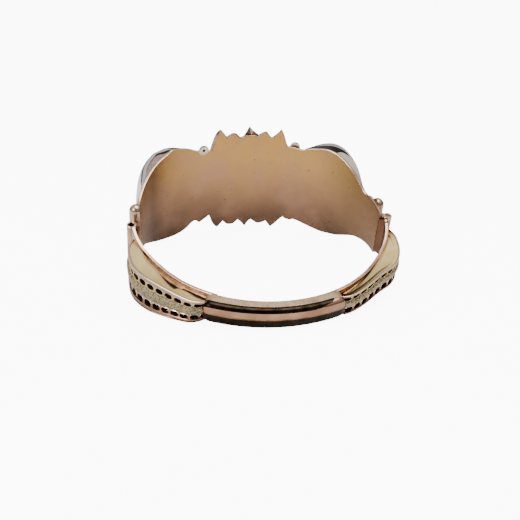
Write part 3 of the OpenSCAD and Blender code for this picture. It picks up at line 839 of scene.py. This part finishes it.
def dome(side):
    """A hollow dome: a steep side round its foot with a black streak painted on as a dark reflection, and a
    swelling face.
    """
    loop = dome_outline(side)
    wall, streak_top, streak_low = (catmull(table[side]) for table in (DOME_WALL, STREAK_TOP, STREAK_LOW))
    start = DOME_FROM[side]
    round_r = DOME_ROUND_R[side]
    crown_at = FRONT_END_R + PLATE_T + DOME_H + DOME_OUT[side] - round_r
    mid_w, mid_z = DOME_MIDDLE[side]

    def foot_at(w):
        return plate_out(round(w, 2), side)

    def side_marks(w):
        """Heights at a place: the foot, both edges of the painted reflection streak, and the side's top."""
        top = lookup(wall, w)
        high = min(lookup(streak_top, w), top)
        return -BITE, max(min(lookup(streak_low, w), high), -BITE), high, top

    def side_place(w, z, band, t):
        marks = side_marks(w)
        height = marks[band] * (1 - t) + marks[band + 1] * t
        return wing_to_own(w, foot_at(w) + height, z, side)

    def face_place(w, z, s):
        """The crown's share is none at the outline, and full in the middle."""
        edge = lookup(wall, w)
        crown = crown_at + math.sqrt(max(round_r ** 2 - (w + DOME_SHIFT[side]) ** 2, 0)) - foot_at(w)
        top = lookup(WING_UPPER[side], w) - DOME_MARGIN
        low = lookup(WING_LOWER[side], w) + DOME_MARGIN
        along = (2 * w - start - DOME_TO) / (DOME_TO - start)
        up = (2 * z - top - low) / (top - low)
        swell = 0 if s > 0.99 else max((1 - along ** 6) * (1 - up * up), 0) ** DOME_SWELL[side]
        return wing_to_own(w, foot_at(w) + edge + max(crown - edge, 0) * swell, z, side)

    def row(s, place, *where):
        return [place(mid_w + (w - mid_w) * s, mid_z + (z - mid_z) * s, *where) for w, z in loop]

    rows = []
    for band in range(3):
        for i in range(SIDE_ROWS):
            t = i / SIDE_ROWS
            rows.append(row(1 - 0.008 * (band + t) / 3, side_place, band, t))
    for s in [0.992, 0.988, 0.98, 0.97, 0.955] + [0.94 * (1 - i / 30) for i in range(30)] + [0.002]:
        rows.append(row(s, face_place, s))

    def skin(i, j):
        band = min(i // SIDE_ROWS, 3)
        return 0 if band == 1 and loop[j][1] <= 0 else band

    # Cream on the right and mauve grey on the left paint light and shade on the sides, the streak is a
    # painted dark reflection, and the near-white face is a painted reflection of the white surroundings.
    skins = [WALL, REFLECTION_STREAK, WALL, DOME] if side else [CREAM, REFLECTION_STREAK, DOME, DOME]
    surface(f"dome_{SIDE_NAME[side]}", "front", rows, skins, skin, sharp=25)


def bead(side, z0, inwards, name):
    """Half a ball, its flat back closed by a disc with a raised rim and a small hole."""
    profile = [(1e-4, 0.5), (BEAD_HOLE_R, 0.45), (BEAD_HOLE_R, 0.05), (BEAD_HOLE_R + 0.08, 0),
               (0.95, 0.02), (1.02, -0.08), (1.22, -0.1), (BEAD_R, 0)]
    n = 14
    turns = [math.pi / 2 * i / n for i in range(1, n)]
    profile += [(BEAD_R * math.cos(t), BEAD_R * math.sin(t)) for t in turns] + [(1e-4, BEAD_R)]
    near = BEAD_OUT[side] - inwards
    rows = [
        [on_plate(BEAD_A[side], across, near + out, z0 + up, side) for across, up in ring(40, rad)]
        for rad, out in profile
    ]
    # The hole is painted dark as shade, and the cream outside is painted pale as a reflection of the white
    # surroundings.
    surface(name, "front", rows, [CREAM, DARK], lambda i, j: int(i < 3), sharp=50)


def end_bar(side):
    """The upright bar beside a joint: a half-round with rounded ends."""
    low = BAR_LOW + BAR_R
    high = BAR_TOP - BAR_R
    n = 12
    turns = [math.pi / 2 * i / n for i in range(n + 1)]
    stations = [(low - BAR_R * math.cos(t), BAR_R * math.sin(t)) for t in turns]
    stations += [(low + (high - low) * i / n, BAR_R) for i in range(1, n)]
    stations += [(high + BAR_R * math.sin(t), BAR_R * math.cos(t)) for t in turns]
    lift = BAR_OUT[side]
    rows = []
    for z, r in stations:
        loop = ring(36, max(r, 1e-3))
        rows.append([on_plate(BAR_A, across, max(lift + out, -0.35), z, side) for across, out in loop])
    surface(f"end_bar_{SIDE_NAME[side]}", "front", rows, [TUBE])


def tube(name, body, x, low, high, bore):
    """A hinge tube whose thin lip is painted bright as a highlight and whose bore is painted dark as shade.
    """
    lip = TUBE_LIP
    profile = [
        (bore, low + lip), (bore + lip, low), (TUBE_R - lip, low), (TUBE_R, low + lip),
        (TUBE_R, high - 0.35), (TUBE_R, high - lip), (TUBE_R - lip, high),
        (bore + lip, high), (bore, high - lip),
    ]
    rows = [[(x + px, PIN_Y + py, z) for px, py in ring(48, r)] for r, z in profile]
    skins = (2, 2, 2, 0, 2, 2, 2, 2, 1)
    surface(name, body, rows, [TUBE, DARK, RIM], lambda i, j: skins[i], wrap_u=True)


def prism(name, body, outline, low, high, skin=TUBE):
    """An upright block over an outline in plan, its edges slightly eased."""
    cx, cy = (sum(p[k] for p in outline) / len(outline) for k in (0, 1))
    rows = [
        [(cx + (x - cx) * k, cy + (y - cy) * k, z) for x, y in outline]
        for z, k in ((low, 0.94), (low + TUBE_LIP, 1), (high - TUBE_LIP, 1), (high, 0.94))
    ]
    surface(name, body, rows, [skin], caps=0)


def hinge_and_catch():
    inner = MIDDLE_TUBE_TOP + TUBE_GAP
    tube("hinge_tube_top", "front", PIN_X, inner, TUBE_TOP, HINGE_BORE_R)
    tube("hinge_tube_bottom", "front", PIN_X, -TUBE_TOP, -inner, HINGE_BORE_R)
    tube("hinge_tube_middle", "rear", PIN_X, -MIDDLE_TUBE_TOP, MIDDLE_TUBE_TOP, HINGE_BORE_R)
    tube("catch_tube", "front", -PIN_X, -TUBE_TOP, CATCH_TUBE_TOP, CATCH_BORE_R)
    wall_x = HALF_W + 0.35
    tube_x = PIN_X - 0.6
    web = [(wall_x, JOINT_GAP), (tube_x, JOINT_GAP), (tube_x, PIN_Y + 1), (wall_x, PIN_Y + 2.3)]
    prism("hinge_web_top", "front", web, inner, TUBE_TOP - 0.1)
    prism("hinge_web_bottom", "front", web, 0.1 - TUBE_TOP, -inner)
    prism("catch_web", "front", [(-x, y) for x, y in web], 0.1 - TUBE_TOP, CATCH_TUBE_TOP - 0.1)
    leaf = [(HALF_W + 0.1, -0.08), (PIN_X - 0.2, -0.08), (PIN_X - 0.2, -1.6), (HALF_W + 1.3, -1.6)]
    prism("hinge_leaf", "rear", leaf, -5.2, 5.2, BAND_INSIDE)
    rear_web = [(HALF_W + 1.4, -JOINT_GAP), (PIN_X - TUBE_R + 0.3, -JOINT_GAP), (PIN_X, PIN_Y - 0.6),
                (PIN_X + TUBE_R - 0.05, PIN_Y - 0.4), (PIN_X - 0.1, -3.5), (HALF_W + 1.4, -3.5)]
    prism("hinge_web_middle", "rear", rear_web, -MIDDLE_TUBE_TOP, MIDDLE_TUBE_TOP)


# The rear band

def band_half_height(y):
    """Half the height of the band's sides, at y behind the joint line."""
    if y < -BAND_RISE_Y:
        return BAND_HALF_H
    rise = BAND_END_HALF_H - BAND_HALF_H
    r = (BAND_RISE_Y ** 2 + rise ** 2) / (2 * rise)
    return BAND_HALF_H + r - math.sqrt(r * r - (y + BAND_RISE_Y) ** 2)


def band_edge(side, a, out):
    """A place at a distance outside the band's inner edge: a is the angle from the -y axis."""
    return rear_point(a, lookup(BAND_OFFSET[side], rear_point(a, 0)[1]) + out)


def band_side(side):
    """One side of the rear band: a thin upright strip whose inner line along its top is painted bright as a
    highlight.
    """
    end = math.pi / 2 + math.asin(BAND_END_Y / PIN_X)
    # The upper edge of the section: distance outwards, and height over the band's own
    edge = [(0.02, -0.07), (0.08, 0), (0.2, 0), (0.5, -0.02), (STRIP_W - 0.1, -0.02),
            (STRIP_W, -0.1), (STRIP_W + 0.04, -0.6)]
    edge_kinds = [1, 1, 1, 2, 2, 2, 3]
    n = 120
    rows = []
    for i in range(n + 1):
        a = BAND_SIDE_FROM + (end - BAND_SIDE_FROM) * i / n
        h = band_half_height(rear_point(a, 0)[1])
        loop = [(0, (h - 0.25) * (k / 3 - 1)) for k in range(7)]
        loop += [(out, h + over) for out, over in edge] + [(out, -h - over) for out, over in reversed(edge)]
        rows.append(mirrored([band_edge(side, a, out) + (z,) for out, z in loop], side))
    kinds = [0] * 6 + edge_kinds + [3] + edge_kinds[::-1]
    skins = [BAND_INSIDE, RIM, STRIP, ROSE]
    surface(f"band_side_{SIDE_NAME[side]}", "rear", rows, skins, lambda i, j: kinds[j], caps=2)


def band_back():
    """The half-round back: flat inside, rounded outside, with rounded ends."""
    mid_r = (REAR_END_X ** 2 / (REAR_DEPTH - REAR_END_R) + REAR_END_R + REAR_DEPTH) / 2
    mid_y = mid_r - REAR_DEPTH
    right_end, left_end = BACK_END_A
    h = BAND_HALF_H
    # Its skins are painted light and shade: a bright rim as a highlight, a tan top as a reflection of the
    # light overhead, a black stripe as a dark reflection, a pink-tan face as a reflection of the floor, and
    # brown and black below as shade.
    inside, rim, tan, stripe, face, brown = range(6)
    # The upper half of the section, from the inside outwards, and the skin behind each point
    upper = [(0, 0, inside), (0, h - 0.3, inside), (0.03, h - 0.1, rim), (0.12, h, rim), (0.3, h, tan),
             (1.2, h - 0.02, tan), (TAN_W, h - 0.03, stripe), (BACK_T - BACK_EDGE_R, h - 0.04, stripe)]
    first_round = len(upper)
    stripe_from = first_round - 2
    n_round = 16
    for i in range(1, n_round + 1):
        t = math.pi / 2 * i / n_round
        upper.append((BACK_T - BACK_EDGE_R * (1 - math.sin(t)), h - BACK_EDGE_R * (1 - math.cos(t)), face))
    # The outer face, brown and then black from its middle down as painted shade, and the lower half
    outer = [(BACK_T, 0.8, face), (BACK_T, 0.4, brown), (BACK_T, 0.05, stripe), (BACK_T, -1.2, stripe)]
    section = upper + outer + [(t, -z, kind) for t, z, kind in reversed(upper[1:])]
    black_from = len(upper) + 2
    black_to = len(section) - first_round
    rows = []
    reaches = []
    n = 150
    for i in range(n + 1):
        a = -left_end + (left_end + right_end) * i / n
        inward = min((a + left_end) * mid_r / BACK_END, (right_end - a) * mid_r / BACK_END, 1)
        full = math.sqrt(max(1 - (1 - inward) ** 2, 0.0))
        thick = (0.8 + 0.2 * full) * (1 + BACK_END_T / BACK_T * (a / left_end) ** 2)
        row = []
        for t, z, _kind in section:
            r = mid_r + t * thick
            slimmer = 1 - 0.6 * (1 - full) * t / BACK_T
            row.append((r * math.sin(a), mid_y - r * math.cos(a), z * slimmer))
        rows.append(row)
        # How many rows of the rounding the painted dark reflection covers here
        left_of_end = (STRIPE_TO_X - mid_r * math.sin(a)) / STRIPE_FADE
        reaches.append(STRIPE_ROWS * min(max(left_of_end, 0), 1) ** 0.6)

    def skin(i, j):
        if black_from <= j < black_to:
            return stripe
        if not stripe_from <= j < len(upper):
            return section[j][2]
        if reaches[i] > 0 and j - first_round < reaches[i]:
            return stripe
        return tan if j < first_round else face

    skins = [BAND_INSIDE, RIM, BACK_TOP, STRIPE, BACK_FACE, COPPER]
    surface("band_back", "rear", rows, skins, skin, caps=face, sharp=50, replaces=["rear_band"])


# Shoulder boxes

def leaf_plane(side, x, y):
    """Height of the plane that a leaf's inner edge lies in, at a place drawn for the right."""
    dx, dy = x - LEAF_AT[side][0], y - LEAF_AT[side][1]
    outward = dx * math.cos(LEAF_TURN) - dy * math.sin(LEAF_TURN)
    forward = dx * math.sin(LEAF_TURN) + dy * math.cos(LEAF_TURN)
    return LEAF_AT[side][2] + outward * LEAF_IN + forward * LEAF_BACK


class Box:
    """The outside of a shoulder box: its plan, heights and rows, for placing points on it."""

    def __init__(self, side):
        self.side = side
        self.tag = SIDE_NAME[side]
        self.edge, self.length = evenly(catmull(BOX_EDGE[side]), BOX_N)
        self.leaf, _length = evenly(catmull(LEAF_EDGE[side]), BOX_N)
        self.top = catmull(BOX_TOP[side])
        self.low = catmull(BOX_LOW[side])
        # The way outwards at each station
        ways = []
        for i in range(BOX_N + 1):
            a = self.edge[max(i - 3, 0)]
            b = self.edge[min(i + 3, BOX_N)]
            ways.append(((a[1] - b[1]) / math.dist(a, b), (b[0] - a[0]) / math.dist(a, b)))
        self.ways = evened(ways, 8)

    def heights(self, i):
        return lookup(self.top, i / BOX_N), lookup(self.low, i / BOX_N)

    def at(self, i, out, share):
        """A place at a station: distance outside the rim, and share of the height from the top."""
        i = min(max(i, 0), BOX_N)
        k = min(int(i), BOX_N - 1)
        x, y = (a + (b - a) * (i - k) for a, b in zip(self.edge[k], self.edge[k + 1]))
        nx, ny = (a + (b - a) * (i - k) for a, b in zip(self.ways[k], self.ways[k + 1]))
        top, low = self.heights(i)
        return mirrored([(x + nx * out, y + ny * out, top + (low - top) * share)], self.side)[0]

    def along(self, distance, out, share):
        return self.at(distance / self.length * BOX_N, out, share)

    def surface(self, name, rows, skins, skin=0, sharp=40, wrap_v=False):
        """A piece of this box that is one grid of points."""
        surface(f"box_{name}_{self.tag}", "rear", rows, skins, skin, wrap_v=wrap_v, sharp=sharp)


def box_cover(box, above):
    """The raised lip along the outer edge, the sloping leaf, and the groove down to the band."""
    side = box.side
    # Across the lip: share of its width, and height over the rim
    lip = [(0, -0.1), (0.05, 0.04), (0.18, 0.11), (0.35, LIP_H), (0.65, LIP_H), (0.85, 0.1), (1, 0)]
    # Across the leaf, which is warm beside the groove: shares of its width
    plain, warm = 12, 4
    across = [LEAF_PLAIN * (i + 1) / plain for i in range(plain)]
    across += [LEAF_PLAIN + (1 - LEAF_PLAIN) * (i + 1) / warm for i in range(warm)]
    blacks, coppers = ([(zone[0], zone[k]) for zone in GROOVE_ZONES[side]] for k in (1, 2))
    rows = []
    for i in range(BOX_N + 1):
        x, y = box.edge[i]
        sx, sy = box.leaf[i]
        top, low = box.heights(i)
        rim_z = top if above else -low
        bx, by = band_edge(side, math.atan2(sx, -sy), STRIP_W - 0.05)
        band_z = band_half_height(by)
        inner_z = min(leaf_plane(side, sx, sy) if above else band_z - 0.1, rim_z + 0.3)
        lip_share = min(LIP_W[side] / math.dist((x, y), (sx, sy)), 0.35)
        marks = [(lip_share * t, rise) for t, rise in lip]
        marks += [(lip_share + (1 - lip_share) * t, -LEAF_DISH * math.sin(math.pi * t)) for t in across]
        row = [
            (x + (sx - x) * k, y + (sy - y) * k, rim_z + (inner_z - rim_z) * k + rise)
            for k, rise in marks
        ]
        # Across the groove: share of its width, and height
        narrow = 1 if math.dist((sx, sy), (bx, by)) > 0.3 else 0.3
        floor_z = min(inner_z - 0.25, band_z - GROOVE_D)
        # The groove's olive, black and copper zones: painted shade, with some patina.
        black, copper = lookup(blacks, i / BOX_N), lookup(coppers, i / BOX_N)
        groove = ((0.02, inner_z - 0.1), (black, floor_z + 0.15), ((black + copper) / 2, floor_z),
                  (copper, floor_z), ((copper + 1) / 2, floor_z + 0.1), (1, band_z - 0.2))
        row += [(sx + (bx - sx) * k * narrow, sy + (by - sy) * k * narrow, z) for k, z in groove]
        rows.append(mirrored([(px, py, z if above else -z) for px, py, z in row], side))
    kinds = [0] * (len(lip) - 1) + [1] * plain + [2] * warm + [3, 3, 4, 4, 5, 5]
    # The lip is painted bright as a highlight.
    skins = [RIM, LEAF, LEAF_WARM, OLIVE, STRIPE, COPPER]
    word = "upper" if above else "lower"
    box.surface(f"cover_{word}", rows, skins, lambda i, j: kinds[j])


def box_rims(box):
    """The finely milled upper rim, and the smooth lower one."""
    milled, foot = BOX_ROWS[box.side][0], BOX_ROWS[box.side][-1]
    rows = []
    for i in range(BOX_N * 2 + 1):
        cut = MILLING if i % 2 else 0.0
        profile = ((-RIM_OUT - BITE, milled), (-0.06, milled), (-cut, milled - 0.012), (-cut, 0.02),
                   (-0.05, 0.005))
        rows.append([box.at(i / 2, out, share) for out, share in profile])
    box.surface("rim_upper", rows, [MILLED], sharp=25)
    rows = []
    n = 8
    for i in range(BOX_N + 1):
        row = [box.at(i, -RIM_OUT - BITE, foot), box.at(i, -0.12, foot)]
        for k in range(n + 1):
            t = math.pi / 2 * k / n
            share = foot + 0.01 + (0.99 - foot) * math.sin(t)
            row.append(box.at(i, -0.5 + 0.45 * math.cos(t) ** 0.8, share))
        rows.append(row)
    box.surface("rim_lower", rows, [ROSE])


def box_panel(box):
    """The bulged middle panel, matted all over."""
    _milled, _holes, head, foot, _low = BOX_ROWS[box.side]
    rows = []
    n = 16
    for i in range(BOX_N + 1):
        ends = min(min(i, BOX_N - i) / 8, 1)
        row = []
        for k in range(n + 1):
            swell = BULGE * math.sqrt(max(1 - abs(2 * k / n - 1) ** 2.6, 0)) * math.sqrt(ends)
            share = head + (foot - head) * k / n
            grain = GRAIN * noise.noise(Vector(box.at(i, 0, share)) * GRAIN_SCALE) if 0 < k < n else 0
            row.append(box.at(i, swell - RIM_OUT + grain, share))
        rows.append(row)
    box.surface("panel", rows, [PANEL], sharp=60)


def box_wire(box):
    """The chased wire under the upper piercings."""
    share = BOX_ROWS[box.side][1] + 0.012
    rows = []
    for i in range(BOX_N * 2 + 1):
        distance = box.length * i / (2 * BOX_N)
        wave = WIRE_WAVE * math.cos(2 * math.pi * (distance - HOLE_START[box.side][0]) / HOLE_PITCH)
        r = WIRE_R + WIRE_CHASING * math.sin(2 * math.pi * distance / WIRE_PITCH)
        rows.append([
            box.along(distance, out - RIM_OUT + 0.02, share + wave + up / 9) for up, out in ring(8, r)
        ])
    box.surface("wire", rows, [LEAF], wrap_v=True)


def box_piercings(box, lower):
    """A row of piercings, flat above and round below, each in its own cell of the wall."""
    milled, upper_foot, _head, panel_foot, lower_foot = BOX_ROWS[box.side]
    high, low = (panel_foot - 0.01, lower_foot) if lower else (milled - 0.01, upper_foot + 0.02)
    tall = low - high
    start = HOLE_START[box.side][lower]
    n = 28
    shape = Shape()
    first = math.floor((-start - HOLE_PITCH / 2) / HOLE_PITCH) + 1
    last = math.ceil((box.length - start) / HOLE_PITCH + 0.5)
    for k in range(first, last):
        middle = start + k * HOLE_PITCH
        whole = 0.3 * HOLE_PITCH < middle < box.length - 0.3 * HOLE_PITCH
        half_w = HOLE_PITCH * (HOLE_HALF_W if whole else 0.05)
        edge = []
        hole = []
        for p in range(n):
            a = 2 * math.pi * (p + 0.5) / n
            ca, sa = math.cos(a), math.sin(a)
            m = max(abs(ca), abs(sa))
            edge.append((middle + HOLE_PITCH / 2 * ca / m, high + tall * (0.5 + 0.5 * sa / m)))
            reach = max(0.06 + 0.4 * sa, -0.3) if whole else 0.05 * sa
            hole.append((middle + half_w * math.copysign(abs(ca) ** 0.75, ca), high + tall * (0.5 + reach)))
        lip = [tuple(h + (e - h) * 0.35 for h, e in zip(hs, es)) for hs, es in zip(hole, edge)]
        loops = ((edge, 0), (lip, 0.02), (hole, HOLE_RAISED[lower]), (hole, -0.1), (hole, -WALL_T))
        rows = [
            [box.along(min(max(s, 0), box.length), out - RIM_OUT, share) for s, share in loop]
            for loop, out in loops
        ]
        # Round each whole piercing the lip is painted bright as a highlight, and its inside dark as shade.
        shape.grid(rows, (lambda i, j: (0, 1, 2, 2)[i]) if whole else 0, wrap_v=True)
    word = "lower" if lower else "upper"
    shape.piece(f"box_piercings_{word}_{box.tag}", "rear", [ROSE, RIM, DARK])


def box_hollow(box):
    """A sheet painted near black behind the piercings, standing for the shade inside the box."""
    shares = (0.05, 0.35, 0.65, 0.97)
    box.surface("hollow", [[box.at(i, -RIM_OUT - 1, k) for k in shares] for i in range(BOX_N + 1)], [DARK])


def box_ends(box):
    """The rounded walls that close a box in front and at its rear tip."""
    for i, word in ((0, "front"), (BOX_N, "rear")):
        x, y = box.edge[i]
        sx, sy = band_edge(box.side, math.atan2(box.leaf[i][0], -box.leaf[i][1]), STRIP_W - 0.1)
        nx, ny = box.ways[i]
        dx, dy = (ny, -nx) if i else (-ny, nx)
        top, low = box.heights(i)
        n = 10
        rows = []
        for k in range(n + 1):
            t = k / n
            bulge = 0.25 * math.sin(math.pi * t)
            px, py = x + (sx - x) * t + dx * bulge, y + (sy - y) * t + dy * bulge
            inner = band_half_height(py) - 0.3
            high, deep = top + (inner - top) * t, low - (inner + low) * t
            rows.append(mirrored([(px, py, high + (deep - high) * s / 6) for s in range(7)], box.side))
        box.surface(f"end_{word}", rows, [ROSE])


def shoulder_box(side):
    box = Box(side)
    for above in (True, False):
        box_cover(box, above)
    box_rims(box)
    box_panel(box)
    box_wire(box)
    for lower in (False, True):
        box_piercings(box, lower)
    box_hollow(box)
    box_ends(box)


# Building the bangle

plaque_plate()
crest_relief()
crest_spike()
boss()
for side in (0, 1):
    dome(side)
    end_bar(side)
    for z0, inwards, word in zip(BEAD_Z[side], BEAD_IN[side], ("upper", "lower")):
        bead(side, z0, inwards, f"bead_{word}_{SIDE_NAME[side]}")
    band_side(side)
    shoulder_box(side)
band_back()
hinge_and_catch()
for name in ("hinge_pin", "catch_tongue"):
    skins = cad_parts[name].data.materials
    skins.clear()
    skins.append(ROSE)


# Floor, light and surroundings

# How brightly the floor and what lies beyond it shine at the camera alone, to read as white
FLOOR_GLOW = 9
# Colours of the surroundings, from the horizon up, and the dark zone behind the camera: angles
# at which it begins and is full
SKY = [(0.0, (0.248, 0.235, 0.221)), (0.14, (0.293, 0.272, 0.26)),
       (0.4, (0.881, 0.881, 0.891)), (1.0, (1, 1, 1))]
SHADE_EDGE = math.radians(36)
SHADE_CORE = math.radians(20)


def floor():
    mat, tree, bsdf, at = shader("pale_floor", 0.7, 0.0)
    tone = noise_node(tree, at, 0.01, 2)
    colour = ramp(tree, tone, [(0.3, (0.93, 0.93, 0.93)), (0.7, (0.95, 0.95, 0.95))])
    tree.links.new(colour, bsdf.inputs["Base Color"])
    seen = add(tree, "LightPath", {}, "Is Camera Ray")
    bsdf.inputs["Emission Color"].default_value = (1, 1, 1, 1)
    tree.links.new(arithmetic(tree, "MULTIPLY", seen, FLOOR_GLOW), bsdf.inputs["Emission Strength"])
    mesh = bpy.data.meshes.new("floor")
    reach = 1.6
    corners = [(-reach, -reach, 0), (reach, -reach, 0), (reach, reach, 0), (-reach, reach, 0)]
    mesh.from_pydata(corners, [], [(0, 1, 2, 3)])
    mesh.materials.append(mat)
    obj = bpy.data.objects.new("floor", mesh)
    bpy.context.collection.objects.link(obj)


def area_light(name, place, size, watts):
    data = bpy.data.lights.new(name, "AREA")
    data.shape = "DISK"
    data.size = size
    data.energy = watts
    obj = bpy.data.objects.new(name, data)
    obj.location = place
    obj.rotation_euler = (Vector((0, 0, 0.01)) - Vector(place)).to_track_quat("-Z", "Y").to_euler()
    bpy.context.collection.objects.link(obj)


def surroundings():
    """A pale room: bright overhead, darker round the horizon and behind the camera."""
    world = bpy.data.worlds.new("studio")
    bpy.context.scene.world = world
    world.use_nodes = True
    tree = world.node_tree
    way = add(tree, "TexCoord", {}, "Generated")
    sky = ramp(tree, axis(tree, way, "Z"), SKY)
    # The dark zone behind the camera, by how squarely a direction points at it
    elevation = CAMERA_EL + REST_TILT
    toward = add(tree, "VectorMath", {0: way, 1: (
        math.sin(CAMERA_AZ) * math.cos(elevation),
        -math.cos(CAMERA_AZ) * math.cos(elevation),
        math.sin(elevation),
    )}, "Value", operation="DOT_PRODUCT")
    shade = remap(tree, toward, math.cos(SHADE_EDGE), math.cos(SHADE_CORE))
    sky = mix(tree, shade, sky, (0.04, 0.035, 0.03, 1))
    seen = add(tree, "LightPath", {}, "Is Camera Ray")
    glow = (FLOOR_GLOW, FLOOR_GLOW, FLOOR_GLOW, 1)
    tree.links.new(mix(tree, seen, sky, glow), tree.nodes["Background"].inputs["Color"])


def camera():
    """The camera that took the photo: its place and turn, carried along with the bangle."""
    back = Vector((
        math.sin(CAMERA_AZ) * math.cos(CAMERA_EL),
        -math.cos(CAMERA_AZ) * math.cos(CAMERA_EL),
        math.sin(CAMERA_EL),
    ))
    right = (-back).cross(Vector((0, 0, 1))).normalized()
    up = right.cross(-back)
    turned = right * math.cos(CAMERA_ROLL) + up * math.sin(CAMERA_ROLL)
    upright = up * math.cos(CAMERA_ROLL) - right * math.sin(CAMERA_ROLL)
    tilt = Matrix.Rotation(REST_TILT, 3, "X")
    data = bpy.data.cameras.new("camera")
    data.lens = CAMERA_LENS
    data.sensor_width = 36
    data.clip_start = 0.01
    obj = bpy.data.objects.new("camera", data)
    axes = Matrix([tilt @ turned, tilt @ upright, tilt @ back]).transposed()
    obj.matrix_world = Matrix.Translation(REST @ (CAMERA_TARGET + back * CAMERA_DISTANCE)) @ axes.to_4x4()
    bpy.context.collection.objects.link(obj)
    bpy.context.scene.camera = obj


floor()
area_light("overhead", (0.05, -0.05, 0.6), 0.5, 5)
area_light("fill", (-0.45, -0.3, 0.35), 0.3, 2)
surroundings()
camera()
